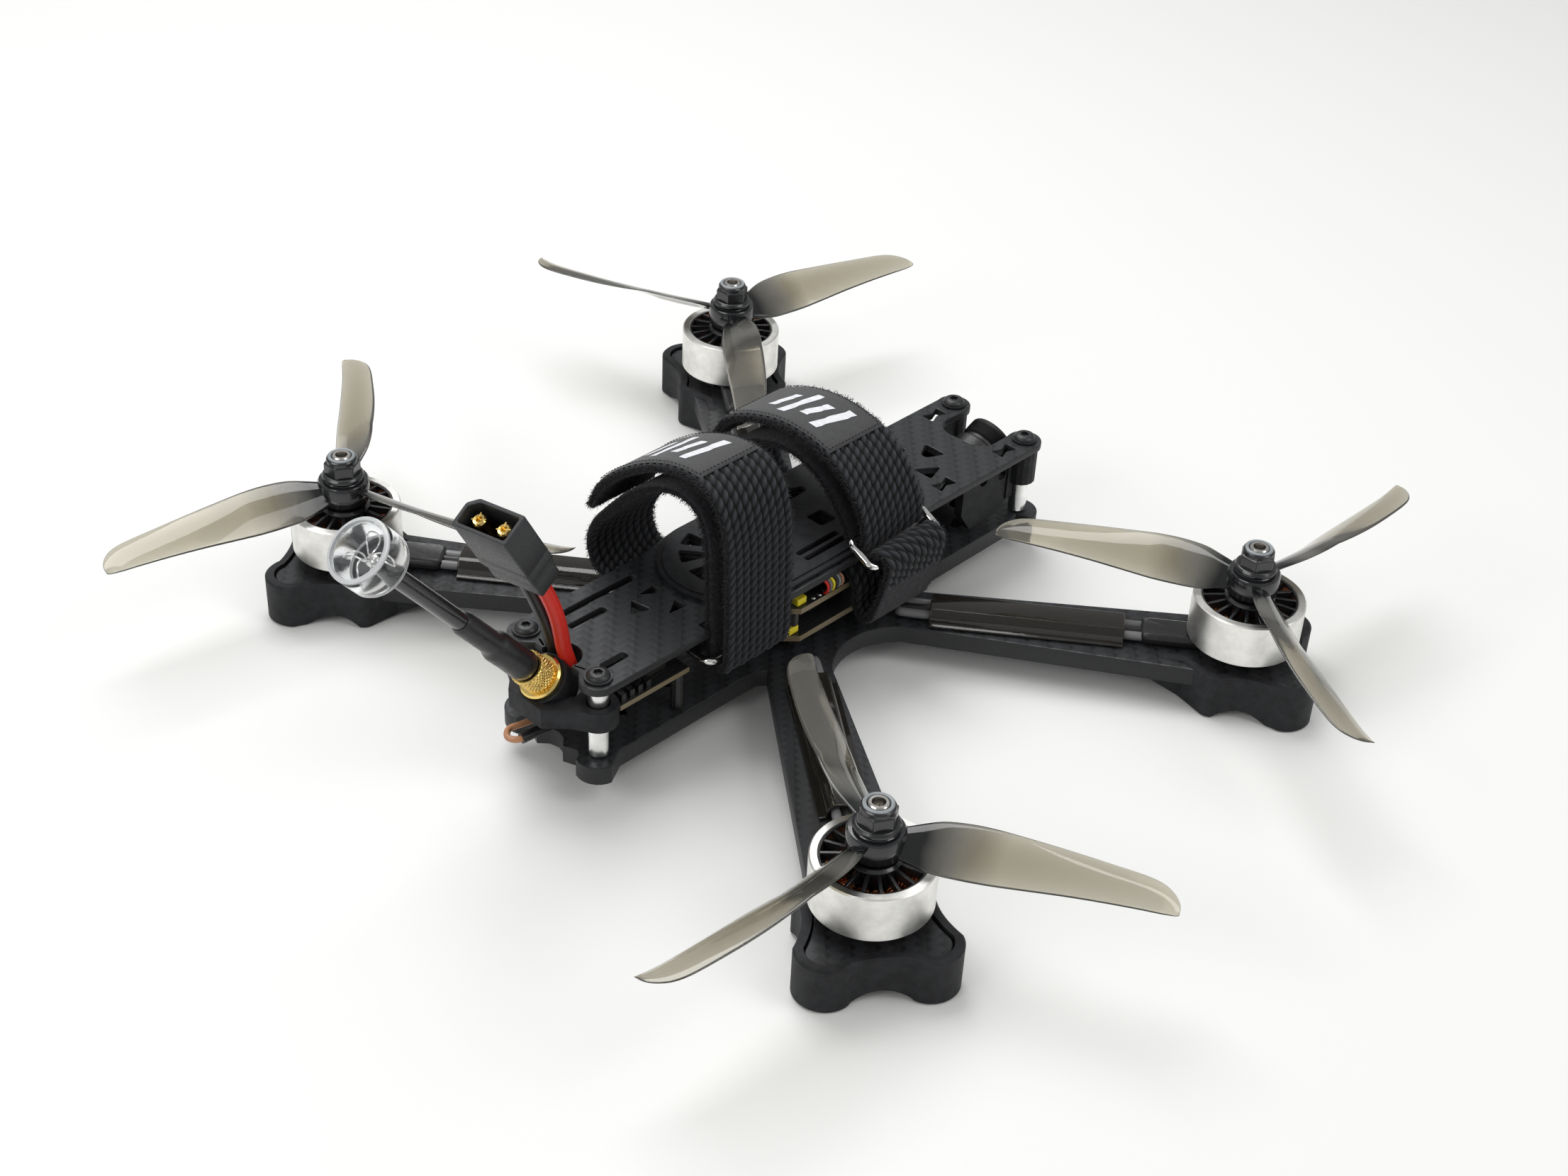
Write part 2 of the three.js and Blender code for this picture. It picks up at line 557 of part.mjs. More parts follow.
// ---- camera, built level about its tilt axis and then tilted ----
const tilted = (made) =>
  moved(made, { y: CAMERA.y, z: CAMERA.z, rx: THREE.MathUtils.degToRad(CAMERA.tilt) });

function cameraBody() {
  const { half } = CAMERA;
  const shell = box(-half, half, -5.5, 5.2, -7.3, 7.3);
  const collar = moved(rod(7.2, 4.9, 8.4, 20), { rx: -Math.PI / 2 });
  return tilted(join(shell, collar));
}

function cameraLens() {
  const barrel = turned([[0, 8.7], [6, 8.7], [6, 9.6], [6.7, 10.2], [6.7, 14.4], [5.4, 14.4],
    [4.6, 13.2], [0, 12.8]], 20);
  return tilted(moved(barrel, { rx: -Math.PI / 2 }));
}

function cameraBracket(x) {
  const inner = CAMERA.half + GAP;
  const outline = [[53, 31], [72, 31], [72, 17], [67, 13.6], [57, 13.2], [53, 19]];
  const holes = [[61.3, 26.6], [69, 25.4]].map(([y, z]) => disc(y, z, 1.6, 0, 20, 14));
  const flat = cut(prism(outline, inner, inner + 2.6), ...holes);
  const swing = new THREE.Matrix4().set(0, 0, 1, 0, 1, 0, 0, 0, 0, 1, 0, 0, 0, 0, 0, 1);
  const side = solid(geometryOf(flat).applyMatrix4(swing));
  const sleeve = join(disc(POST.x, POST.y, 4, 21.5, TOP.low - GAP, 16),
    box(inner, 12.4, 71, 76, 17, TOP.low - GAP));
  const right = cut(join(side, sleeve), disc(POST.x, POST.y, POST.radius + GAP, 0, 50, 16));
  return x > 0 ? right : solid(geometryOf(right).scale(-1, 1, 1));
}

// ---- battery straps: tail, over the top, fold at the ring, back over and under the top plate ----
const REAR_LINE = [
  [-26, 47.5], [-22.3, 54.5], [-14.5, 61.8], [-4.5, 68], [5.5, 71], [13, 70.2], [18, 65.5], [20.2, 58],
  [21, 48], [21.4, 38], [21.5, 29.5], [21.25, 25.6], [20.45, 23.66], [18.5, 22.85], [16.55, 23.66],
  [15.75, 25.6], [15.3, 30], [14.9, 38], [14.4, 48], [13.4, 57.5], [10.4, 63.4], [4, 65.2],
  [-4, 62.6], [-12, 56.8], [-19, 49.4], [-24, 43], [-26.2, 37], [-24.8, 31.6], [-20.4, 29.3],
  [-12, 29.2], [-2, 29.2], [5.4, 29.2], [9.5, 28.35], [11.44, 27.54], [12.25, 25.6],
  [11.44, 23.66], [9.5, 22.85], [7.56, 23.66], [6.9, 24.9],
];
const FRONT_LINE = [
  [-29.5, 47.4], [-26, 52.4], [-17, 57], [-6.5, 59.4], [4, 58.6], [12, 55.4], [17.9, 49.8],
  [21.2, 44.2], [22.1, 39.4], [21.3, 37.42], [19.35, 36.6], [17.4, 37.42], [16.4, 39.6], [12.6, 45],
  [6.6, 50.8], [-2, 53.8], [-10, 53], [-18.5, 49.6], [-24.6, 44.8], [-27.4, 39], [-26.4, 33],
  [-21.4, 29.5], [-12, 29.2], [0, 29.2], [10, 29.2], [17, 28.8], [20.2, 25.4], [20.6, 20.4],
  [22.6, 17.4], [25.6, 18.6], [27.6, 24], [29.4, 30.5], [30.2, 35.4], [29.4, 37.4], [27.45, 38.2],
  [25.5, 37.4], [24.7, 35.4], [25.2, 33.7],
];
function strap(line, y) {
  const half = STRAP.width / 2;
  return band(line, STRAP.thick, y - half, y + half, 66);
}

// An oval ring of round wire whose long side lies along Y, tipped about Y.
function ring(x, y, z, tip) {
  const long = 12.6;
  const short = 4.5;
  const bend = 2.2;
  const points = [];
  for (let corner = 0; corner < 4; corner++) {
    const sx = corner === 0 || corner === 3 ? 1 : -1;
    const sy = corner < 2 ? 1 : -1;
    for (let k = 0; k <= 2; k++) {
      const a = ((corner + k / 2) * Math.PI) / 2;
      points.push(new THREE.Vector3(sx * (short - bend) + bend * Math.cos(a),
        sy * (long - bend) + bend * Math.sin(a), 0));
    }
    if (corner % 2) for (const y of [8, 0, -8]) points.push(new THREE.Vector3(sx * short, sy * y, 0));
  }
  const path = new THREE.CatmullRomCurve3(points, true, "centripetal");
  const section = new THREE.Shape();
  section.absarc(0, 0, 0.95, 0, Math.PI * 2, false);
  const wire = new THREE.ExtrudeGeometry(section, {
    steps: 26, curveSegments: 4, extrudePath: path, bevelEnabled: false,
  });
  return moved(solid(wire), { x, y, z, ry: tip });
}

// ---- battery lead ----
const LEAD = { plug: new THREE.Vector3(-2.95, -83.4, 57.4), lean: 0.5, turn: -0.15 };
const inPlugFrame = (made) => moved(made, {
  x: LEAD.plug.x, y: LEAD.plug.y, z: LEAD.plug.z, rx: LEAD.lean, rz: -LEAD.turn,
});

function batteryPlug() {
  const section = (w, h, nick) => [[-w, -h], [w, -h], [w, h], [-w + nick, h], [-w, h - nick * 0.8]];
  const cover = prism(section(7.4, 3.7, 2), 0, 6.5);
  const shell = prism(section(7.9, 4.1, 2.6), 6.2, 22.4);
  const well = prism(section(6.9, 3.1, 2.2), 9, 30);
  const pins = [-3.6, 3.6].map((x) => disc(x, 0, 1.75, 8.6, 20.6, 12));
  const wireWays = [-3.6, 3.6].map((x) => disc(x, 0, 2, -2, 3, 12));
  return inPlugFrame(cut(join(cut(shell, well), cover, ...pins), ...wireWays));
}

const RED_ROUTE = [
  [1.4, -73, 24.6], [1.35, -74.2, 27.5], [1.1, -75.4, 31.5], [0.9, -76.6, 36], [0.8, -77.3, 40.5],
  [0.7, -78.2, 45], [0.6, -79.6, 49.6], [0.5, -81.2, 53.6], [0.46, -82.75, 57.1],
];
const BLACK_ROUTE = [
  [-2.6, -73, 24.6], [-2.7, -74.2, 27.5], [-2.8, -75.4, 31.5], [-3, -76.6, 36], [-3.4, -77.6, 40.5],
  [-4.1, -78.8, 45], [-5, -80.2, 49.6], [-5.8, -81.8, 53.6], [-6.3, -83.5, 56.8],
];
const leadWire = (route) => pipe(route, 1.6, 12);

// ---- assembly ----
add("main_plate", mainPlate(), CARBON);
add("top_plate", topPlate(), CARBON);
add("battery_pad", batteryPad(), PRINT);
for (const corner of CORNERS) {
  const post = add("standoff_" + corner.name, standoff(), WHITE_METAL);
  post.position.set(corner.x * POST.x, corner.y * POST.y, 0);
  const screw = add("plate_screw_" + corner.name, capScrew(), BLACK_METAL);
  screw.position.set(corner.x * POST.x, corner.y * POST.y, 0);

  const angle = Math.atan2(corner.y * MOTOR.y, corner.x * MOTOR.x);
  const arm = new THREE.Group();
  arm.rotation.z = angle;
  drone.add(arm);
  add("wire_cover_" + corner.name, wireCover(), SMOKE, arm);
  add("motor_leads_" + corner.name, motorLeads(), SHRINK, arm);
  add("foot_" + corner.name, foot(), PRINT, arm).position.x = ARM_REACH;

  const mount = new THREE.Group();
  mount.position.set(corner.x * MOTOR.x, corner.y * MOTOR.y, 0);
  drone.add(mount);
  add("stator_" + corner.name, stator(), COPPER, mount);
  add("bell_" + corner.name, bell(), SILVER, mount);
  add("propeller_" + corner.name, propeller(corner), SMOKE, mount);
  add("prop_nut_" + corner.name, propNut(), BLACK_METAL, mount);
}
add("esc_board", escBoard(), BOARD);
add("flight_controller", flightController(), BOARD);
add("boot_button", bootButton(), WHITE_METAL).position.set(-3, 11, 0);
add("video_transmitter", videoTransmitter(), BOARD);
add("antenna_mount", antennaMount(), PRINT);
add("antenna_plug", antennaPlug(), GOLD);
add("antenna_stem", antennaStem(), SHRINK);
add("antenna_cap", antennaCap(), CLEAR);
add("receiver_antenna", receiverAntenna(), COPPER);
add("camera_body", cameraBody(), PRINT);
add("camera_lens", cameraLens(), BLACK_METAL);
add("camera_bracket_left", cameraBracket(-1), PRINT);
add("camera_bracket_right", cameraBracket(1), PRINT);
add("strap_rear", strap(REAR_LINE, REAR_STRAP_Y), WEBBING);
add("strap_front", strap(FRONT_LINE, FRONT_STRAP_Y), WEBBING);
add("strap_ring_rear", ring(14, REAR_STRAP_Y, 25.6, 0), SILVER);
add("strap_ring_front", ring(23.4, FRONT_STRAP_Y, 37.4, 0.45), SILVER);
add("battery_plug", batteryPlug(), SHRINK);
add("battery_wire_red", leadWire(RED_ROUTE), RED);
add("battery_wire_black", leadWire(BLACK_ROUTE), SHRINK);

export default drone;
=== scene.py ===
"""The looks of a five-inch freestyle quadcopter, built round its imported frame.

Everything is in the frame's own axes: +Y is the nose, +X the right-hand side and +Z up, with the feet on
z = 0. Sizes below are in millimetres and become metres where a mesh is made.
"""
import math
import random

import bmesh
import bpy
from mathutils import Matrix, Vector


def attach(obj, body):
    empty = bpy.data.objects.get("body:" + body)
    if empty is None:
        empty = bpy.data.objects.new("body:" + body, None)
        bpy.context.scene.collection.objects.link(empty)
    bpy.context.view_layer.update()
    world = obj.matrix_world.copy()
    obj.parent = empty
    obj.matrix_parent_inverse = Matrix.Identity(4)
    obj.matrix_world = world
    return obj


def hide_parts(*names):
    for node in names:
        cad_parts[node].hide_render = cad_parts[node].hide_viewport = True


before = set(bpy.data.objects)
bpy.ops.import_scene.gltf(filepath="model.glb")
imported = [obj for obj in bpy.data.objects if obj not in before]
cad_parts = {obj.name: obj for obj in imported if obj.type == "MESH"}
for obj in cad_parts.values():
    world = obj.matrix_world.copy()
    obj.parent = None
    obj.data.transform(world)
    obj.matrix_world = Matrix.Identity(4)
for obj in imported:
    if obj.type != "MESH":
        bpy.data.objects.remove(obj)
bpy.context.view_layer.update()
random.seed(7)

MM = 0.001
CORNERS = {"rear_left": (-1, -1), "front_left": (-1, 1), "front_right": (1, 1), "rear_right": (1, -1)}
MOTOR = (91.0, 69.3)
ARM_REACH = math.hypot(*MOTOR)
PROP_REST = {"rear_left": 0.397, "front_left": 1.345, "front_right": -0.544, "rear_right": 0.452}
PROP_SPIN = {"rear_left": -1, "front_left": 1, "front_right": -1, "rear_right": 1}
BOTTOM_PLATE, TOP_PLATE = (6.5, 11.5), (31.5, 33.5)  # heights of the carbon plates' faces
POST = (12.4, 76.4)
POST_WAY = 2.8  # radius of the printed parts' holes round the posts
ANTENNA_LEAN = math.radians(39.6)  # from upright, towards the tail
ANTENNA_ROOT = (0, -82.3, 29.5)
CAMERA_PIVOT = (0, 66, 21.9)
CAMERA_TILT = math.radians(25)
PLUG_AT = (-2.95, -83.4, 57.4)
PLUG_LEAN, PLUG_TURN = 0.5, 0.15
ON_AXIS = 0.1  # a turned profile that starts nearer to the axis than this is solid


# ---- camera ----
def add_camera():
    right, up = Vector((0.7184, 0.6944, 0.0424)), Vector((-0.4274, 0.3925, 0.8145))
    look = Vector((-0.5489, 0.6032, -0.5787))
    data = bpy.data.cameras.new("camera")
    data.lens, data.sensor_width, data.sensor_fit = 52.73, 36, "HORIZONTAL"
    data.clip_start = 0.01
    camera = bpy.data.objects.new("camera", data)
    turn = Matrix((right, up, -look)).transposed().to_4x4()
    camera.matrix_world = Matrix.Translation(Vector((319.27, -352.81, 352.79)) * MM) @ turn
    bpy.context.scene.collection.objects.link(camera)
    bpy.context.scene.camera = camera


# ---- mesh making ----
def link(obj, material, body="airframe", replaces=()):
    bpy.context.scene.collection.objects.link(obj)
    if material:
        obj.data.materials.append(material)
    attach(obj, body)
    if replaces:
        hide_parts(*replaces)
    return obj


def mesh_object(name, verts, faces):
    mesh = bpy.data.meshes.new(name)
    mesh.from_pydata([Vector(v) * MM for v in verts], [], faces)
    form = bmesh.new()
    form.from_mesh(mesh)
    bmesh.ops.recalc_face_normals(form, faces=form.faces)
    form.to_mesh(mesh)
    form.free()
    mesh.polygons.foreach_set("use_smooth", [True] * len(mesh.polygons))
    mesh.validate()
    mesh.update()
    return bpy.data.objects.new(name, mesh)


def sharp(obj, degrees=35):
    """Shades smooth except across edges sharper than the given angle."""
    obj.data.polygons.foreach_set("use_smooth", [True] * len(obj.data.polygons))
    obj.data.set_sharp_from_angle(angle=math.radians(degrees))
    return obj


def bevel(obj, width, segments=2, degrees=32):
    mod = obj.modifiers.new("edges", "BEVEL")
    mod.width, mod.segments = width * MM, segments
    mod.limit_method, mod.angle_limit = "ANGLE", math.radians(degrees)
    return obj


def piece(name, part, look, node=None, body="airframe", crease=35, edge=0.0):
    """A named piece from (verts, faces): shaded, with its edges eased, given its material and put on its
    body, hiding any CAD node it replaces.
    """
    obj = mesh_object(name, *part)
    if crease:
        sharp(obj, crease)
    if edge:
        bevel(obj, edge)
    return link(obj, M[look], body, [node] if node else ())


def grid(rows, closed_u=False, closed_v=False):
    """Quads between equal rows of points. u runs along the rows and v within one."""
    nu, nv = len(rows), len(rows[0])
    faces = []
    for i in range(nu if closed_u else nu - 1):
        for k in range(nv if closed_v else nv - 1):
            here, there = i * nv, ((i + 1) % nu) * nv
            faces.append((here + k, there + k, there + (k + 1) % nv, here + (k + 1) % nv))
    return [p for row in rows for p in row], faces


def ends(rows):
    """The two faces that close the first and last rows of a grid."""
    wide = len(rows[0])
    return [tuple(range(wide)), tuple(range((len(rows) - 1) * wide, len(rows) * wide))[::-1]]


def turn_row(radius, height, sides):
    """One turn of points about Z, with radius a number or a function of the angle."""
    size = radius if callable(radius) else (lambda angle: radius)
    angles = [2 * math.pi * k / sides for k in range(sides)]
    return [(size(a) * math.cos(a), size(a) * math.sin(a), height) for a in angles]


def lathe(profile, sides=48):
    """A turned form about Z: profile points are (radius, height). One that stays off the axis is a ring."""
    rows = [turn_row(radius, height, sides) for radius, height in profile]
    ring = profile[0][0] > ON_AXIS
    verts, faces = grid(rows, closed_u=ring, closed_v=True)
    if not ring:
        first, last = ends(rows)
        faces += [first, last[::-1]]
    return verts, faces


def merge(*parts):
    verts, faces = [], []
    for part_verts, part_faces in parts:
        start = len(verts)
        verts += list(part_verts)
        faces += [tuple(start + i for i in face) for face in part_faces]
    return verts, faces


def placed(part, at=(0, 0, 0), turn=None):
    matrix = Matrix.Translation(Vector(at)) @ (turn or Matrix.Identity(4))
    return [tuple(matrix @ Vector(v)) for v in part[0]], part[1]


def spin(angle, axis="Z"):
    return Matrix.Rotation(angle, 4, axis)


def block(x0, x1, y0, y1, z0, z1):
    verts = [(x, y, z) for z in (z0, z1) for y in (y0, y1) for x in (x0, x1)]
    return verts, [(0, 2, 3, 1), (4, 5, 7, 6), (0, 1, 5, 4), (1, 3, 7, 5), (3, 2, 6, 7), (2, 0, 4, 6)]


def catmull(points, per_span, closed=False):
    """A smooth line of points through the given ones."""
    p = [Vector(q) for q in points]
    count = len(p)
    out = []
    for i in range(count if closed else count - 1):
        ids = [i - 1, i, i + 1, i + 2]
        a, b, c, d = (p[j % count] if closed else p[min(max(j, 0), count - 1)] for j in ids)
        for k in range(per_span):
            t = k / per_span
            out.append(0.5 * ((2 * b) + (c - a) * t + (2 * a - 5 * b + 4 * c - d) * t * t
                              + (3 * b - a - 3 * c + d) * t * t * t))
    return out if closed else out + [p[-1]]


def even(points, step):
    """The same line with points a fixed step apart."""
    out, carry = [points[0]], 0.0
    for a, b in zip(points, points[1:]):
        length = (b - a).length
        at = step - carry
        while at <= length:
            out.append(a.lerp(b, at / length))
            at += step
        carry = (carry + length) % step
    return out


def sweep(points, radius, sides=16, closed=False):
    """A round tube along points, with radius a number or a function of the share of the length."""
    size = radius if callable(radius) else (lambda t: radius)
    count = len(points)
    normal = Vector((0, 0, 1)) if abs((points[1] - points[0]).normalized().z) < 0.9 else Vector((1, 0, 0))
    rows = []
    for i, at in enumerate(points):
        ahead = points[(i + 1) % count] if closed else points[min(i + 1, count - 1)]
        behind = points[i - 1] if closed or i else points[0]
        along = (ahead - behind).normalized()
        normal = (normal - along * normal.dot(along)).normalized()
        side = along.cross(normal)
        r = size(i / (count - 1))
        rows.append([tuple(at + (normal * math.cos(a) + side * math.sin(a)) * r)
                     for a in (2 * math.pi * k / sides for k in range(sides))])
    verts, faces = grid(rows, closed_u=closed, closed_v=True)
    if not closed:
        faces += [face[::-1] for face in ends(rows)]
    return verts, faces


def slab(outline, z0, z1, holes=(), edge=0.0):
    """A flat plate from an outline and holes, with its rims rounded by the given amount."""
    curve = bpy.data.curves.new("outline", "CURVE")
    curve.dimensions, curve.fill_mode = "2D", "BOTH"
    curve.extrude = (z1 - z0) / 2 - edge
    curve.bevel_depth, curve.bevel_resolution = edge, 1
    curve.offset = -edge
    for loop in [outline, *holes]:
        spline = curve.splines.new("POLY")
        spline.points.add(len(loop) - 1)
        spline.use_cyclic_u = True
        for point, (x, y) in zip(spline.points, loop):
            point.co = (x, y, 0, 1)
    holder = bpy.data.objects.new("outline", curve)
    bpy.context.scene.collection.objects.link(holder)
    bpy.context.view_layer.update()
    mesh = bpy.data.meshes.new_from_object(holder.evaluated_get(bpy.context.evaluated_depsgraph_get()))
    middle = (z0 + z1) / 2
    verts = [(v.co.x, v.co.y, v.co.z + middle) for v in mesh.vertices]
    faces = [tuple(p.vertices) for p in mesh.polygons]
    bpy.data.objects.remove(holder)
    bpy.data.meshes.remove(mesh)
    return verts, faces


def arc(cx, cy, radius, start, end, count=14):
    """Points of an arc, with angles in degrees."""
    return [(cx + radius * math.cos(math.radians(start + (end - start) * k / count)),
             cy + radius * math.sin(math.radians(start + (end - start) * k / count)))
            for k in range(count + 1)]


def rounded(points, radius, count=5):
    """A closed outline with its corners rounded."""
    out = []
    n = len(points)
    for i in range(n):
        a, b, c = (Vector(points[j % n]) for j in (i - 1, i, i + 1))
        u, w = (a - b), (c - b)
        r = min(radius, 0.45 * u.length, 0.45 * w.length)
        start, end = b + u.normalized() * r, b + w.normalized() * r
        for k in range(count + 1):
            t = k / count
            out.append(tuple(start * (1 - t) ** 2 + b * 2 * t * (1 - t) + end * t * t))
    return out


def mirror_x(outline):
    return [(-x, y) for x, y in outline][::-1]


def circle(cx, cy, radius, count=32):
    return arc(cx, cy, radius, 0, 360 - 360 / count, count - 1)


# ---- materials ----
class Shader:
    """A material's node tree, with a short call for each kind of node that repeats."""

    def __init__(self, name, color=(0.5, 0.5, 0.5), rough=0.5, metal=0.0, **sockets):
        self.material = bpy.data.materials.new(name)
        self.material.use_nodes = True
        self.tree = self.material.node_tree
        self.surface = self.tree.nodes["Principled BSDF"]
        self.set("Base Color", (*color, 1))
        self.set("Roughness", rough)
        self.set("Metallic", metal)
        for socket, value in sockets.items():
            self.set(socket.replace("_", " "), value)

    def feed(self, socket, value):
        """Links a socket into an input, or sets the input's own value."""
        if isinstance(value, bpy.types.NodeSocket):
            self.tree.links.new(value, socket)
        else:
            socket.default_value = value

    def set(self, socket, value):
        self.feed(self.surface.inputs[socket], value)

    def node(self, kind, inputs=(), **settings):
        made = self.tree.nodes.new(kind)
        for key, value in settings.items():
            setattr(made, key, value)
        for socket, value in inputs:
            self.feed(made.inputs[socket], value)
        return made

    def math(self, operation, a, b=0.0, c=0.0):
        return self.node("ShaderNodeMath", [(0, a), (1, b), (2, c)], operation=operation).outputs[0]

    def add(self, a, b):
        return self.math("ADD", a, b)

    def mul(self, a, b):
        return self.math("MULTIPLY", a, b)

    def wave(self, value, pitch):
        """A sine along value that repeats with the given pitch."""
        return self.math("SINE", self.mul(value, 2 * math.pi / pitch))

    def joined(self, *parts):
        """A vector from numbers or sockets."""
        return self.node("ShaderNodeCombineXYZ", list(enumerate(parts))).outputs[0]

    def flat(self):
        """1 on faces that lie flat, and 0 on cut edges."""
        normal = self.node("ShaderNodeNewGeometry").outputs["True Normal"]
        upright = self.node("ShaderNodeSeparateXYZ", [(0, normal)]).outputs[2]
        return self.math("GREATER_THAN", self.math("ABSOLUTE", upright), 0.6)

    def axes(self, scale=1000.0, source="Object"):
        """Coordinates in millimetres as three sockets."""
        coords = self.node("ShaderNodeTexCoord").outputs[source]
        scaled = self.node("ShaderNodeVectorMath", [(0, coords), ("Scale", scale)], operation="SCALE")
        parts = self.node("ShaderNodeSeparateXYZ", [(0, scaled.outputs[0])]).outputs
        return parts[0], parts[1], parts[2], scaled.outputs[0]

    def noise(self, vector, scale, detail=3.0, rough=0.55):
        inputs = [("Vector", vector), ("Scale", scale), ("Detail", detail), ("Roughness", rough)]
        return self.node("ShaderNodeTexNoise", inputs).outputs[0]

    def ramp(self, value, low, high, at=(0.0, 1.0)):
        """A straight change from low to high, both numbers or both colours."""
        if isinstance(low, (int, float)):
            inputs = [(0, value), (1, at[0]), (2, at[1]), (3, low), (4, high)]
            return self.node("ShaderNodeMapRange", inputs).outputs[0]
        share = self.ramp(value, 0.0, 1.0, at)
        return self.mix(share, (*low, 1), (*high, 1))

    def mix(self, share, a, b):
        return self.node("ShaderNodeMix", [(0, share), (6, a), (7, b)], data_type="RGBA").outputs[2]

    def bump(self, height, depth_mm, strength=1.0):
        inputs = [("Height", height), ("Distance", depth_mm * MM), ("Strength", strength)]
        self.set("Normal", self.node("ShaderNodeBump", inputs).outputs[0])


def carbon():
    """Two-by-two twill of 2 mm tows on the flat faces, and thin plies along the cut edges."""
    s = Shader("carbon_laminate", rough=0.42, Specular_IOR_Level=0.35)
    x, y, z, vector = s.axes()
    tow, stretch = 1.9, 14.0
    u, v = s.math("DIVIDE", x, tow), s.math("DIVIDE", y, tow)
    cell = s.add(s.math("FLOOR", u), s.math("FLOOR", v))
    warp = s.math("LESS_THAN", s.math("FLOORED_MODULO", cell, 4.0), 1.5)
    weft = s.math("SUBTRACT", 1.0, warp)
    along_u = s.math("FRACT", s.math("DIVIDE", s.add(u, v), 4.0))
    crown = s.add(s.mul(warp, s.wave(s.math("FRACT", u), 2)), s.mul(weft, s.wave(s.math("FRACT", v), 2)))
    fibre_u = s.noise(s.joined(s.mul(x, stretch), y), 1.0)
    fibre_v = s.noise(s.joined(x, s.mul(y, stretch)), 1.0)
    fibre = s.add(s.mul(warp, fibre_u), s.mul(weft, fibre_v))
    # Painted sheen: the warp tows are painted lighter than the weft, standing in for the fibres' directional
    # reflection; a diagonal ramp across each twill repeat is added on top.
    sheen_and_twill_tone = s.add(s.mul(warp, 0.5), s.mul(along_u, 0.35))
    weave = s.mix(s.add(sheen_and_twill_tone, s.mul(fibre, 0.25)), (0.005, 0.0055, 0.006, 1), (0.036, 0.038, 0.042, 1))
    flat, grit = s.flat(), s.noise(vector, 3.0, 4.0)
    edge = s.mix(s.add(s.mul(s.wave(z, 0.5), 0.15), grit), (0.010, 0.010, 0.011, 1), (0.030, 0.031, 0.033, 1))
    s.set("Base Color", s.mix(flat, edge, weave))
    s.set("Roughness", s.ramp(s.mul(flat, s.add(warp, grit)), 0.5, 0.34, (0.0, 1.5)))
    s.bump(s.add(s.mul(crown, 0.6), s.mul(fibre, 0.3)), 0.06, 0.6)
    return s.material


def printed():
    """Black flexible print with 0.28 mm layers and a slightly uneven matt face."""
    s = Shader("printed_rubber", rough=0.6, Specular_IOR_Level=0.3)
    _, _, z, vector = s.axes()
    layers = s.math("ABSOLUTE", s.wave(z, 0.56))
    blotch, grit = s.noise(vector, 0.35, 4.0), s.noise(vector, 5.0, 3.0)
    s.set("Base Color", s.ramp(blotch, (0.008, 0.0085, 0.010), (0.022, 0.023, 0.026), (0.3, 0.75)))
    s.set("Roughness", s.ramp(grit, 0.48, 0.72, (0.3, 0.7)))
    s.bump(s.add(layers, s.mul(grit, 0.7)), 0.05, 0.75)
    return s.material


def turned_metal(name, color, rough, grain=0.35, metal=1.0):
    """Turned metal: very fine rings across Z, with faint handling marks."""
    s = Shader(name, color, rough, metal)
    _, _, z, vector = s.axes()
    rings = s.noise(s.joined(0, 0, s.mul(z, 9.0)), 1.0, 4.0)
    marks = s.noise(vector, 0.22, 4.0, 0.6)
    low, high = [c * 0.86 for c in color], [min(1.0, c * 1.05) for c in color]
    s.set("Base Color", s.ramp(marks, low, high, (0.35, 0.65)))
    s.set("Roughness", s.ramp(s.add(rings, s.mul(marks, 0.5)), rough * 0.8, rough * 1.3, (0.4, 1.1)))
    s.bump(rings, 0.01, grain)
    return s.material


def gloss(name, color, rough, speck=0.08, metal=0.0, bump=0.012, scale=2.5, **sockets):
    """Moulded or painted surface with an uneven gloss and fine orange peel."""
    s = Shader(name, color, rough, metal, **sockets)
    vector = s.axes()[3]
    cloud, peel = s.noise(vector, 0.15, 3.0), s.noise(vector, scale, 2.0)
    low, high = [c * (1 - speck * 2) for c in color], [min(1.0, c * (1 + speck * 2)) for c in color]
    s.set("Base Color", s.ramp(cloud, low, high, (0.3, 0.7)))
    s.set("Roughness", s.ramp(peel, max(0.02, rough * 0.75), rough * 1.3, (0.3, 0.7)))
    s.bump(peel, bump, 0.5)
    return s.material


def smoked(name, light, root_depth_and_shade, tint, density, rough=0.045):
    """Smoky clear moulding that absorbs light with depth, darker and less clear where the attribute "reach"
    is low: partly for its thicker root and partly as painted shade for the dark motor seen through it.
    """
    s = Shader(name, light, rough, IOR=1.48, Specular_IOR_Level=0.6)
    vector = s.axes()[3]
    reach = s.node("ShaderNodeAttribute", attribute_name="reach").outputs["Fac"]
    flow = s.noise(vector, 0.05, 2.0)
    share = s.add(reach, s.mul(s.math("SUBTRACT", flow, 0.5), 0.15))
    # Painted shade: the base colour runs dark towards the hub, partly for the blade's thicker root and partly
    # standing in for the dark motor seen through it.
    s.set("Base Color", s.ramp(share, root_depth_and_shade, light, (0.14, 0.42)))
    s.set("Transmission Weight", s.ramp(share, 0.0, 0.92, (0.08, 0.32)))
    s.set("Roughness", s.ramp(s.noise(vector, 1.2, 2.0), rough * 0.7, rough * 1.4, (0.3, 0.7)))
    s.bump(s.noise(vector, 0.4, 2.0), 0.03, 0.3)
    depth = s.node("ShaderNodeVolumeAbsorption", [("Color", (*tint, 1)), ("Density", density)])
    output = next(n for n in s.tree.nodes if n.type == "OUTPUT_MATERIAL")
    s.tree.links.new(depth.outputs[0], output.inputs["Volume"])
    return s.material


def copper_wire():
    s = Shader("copper_windings", (0.62, 0.22, 0.09), 0.3, 1.0)
    vector = s.axes()[3]
    grain = s.noise(vector, 1.6, 4.0)
    s.set("Base Color", s.ramp(grain, (0.30, 0.085, 0.03), (0.83, 0.34, 0.14), (0.3, 0.7)))
    s.bump(grain, 0.03, 0.5)
    return s.material


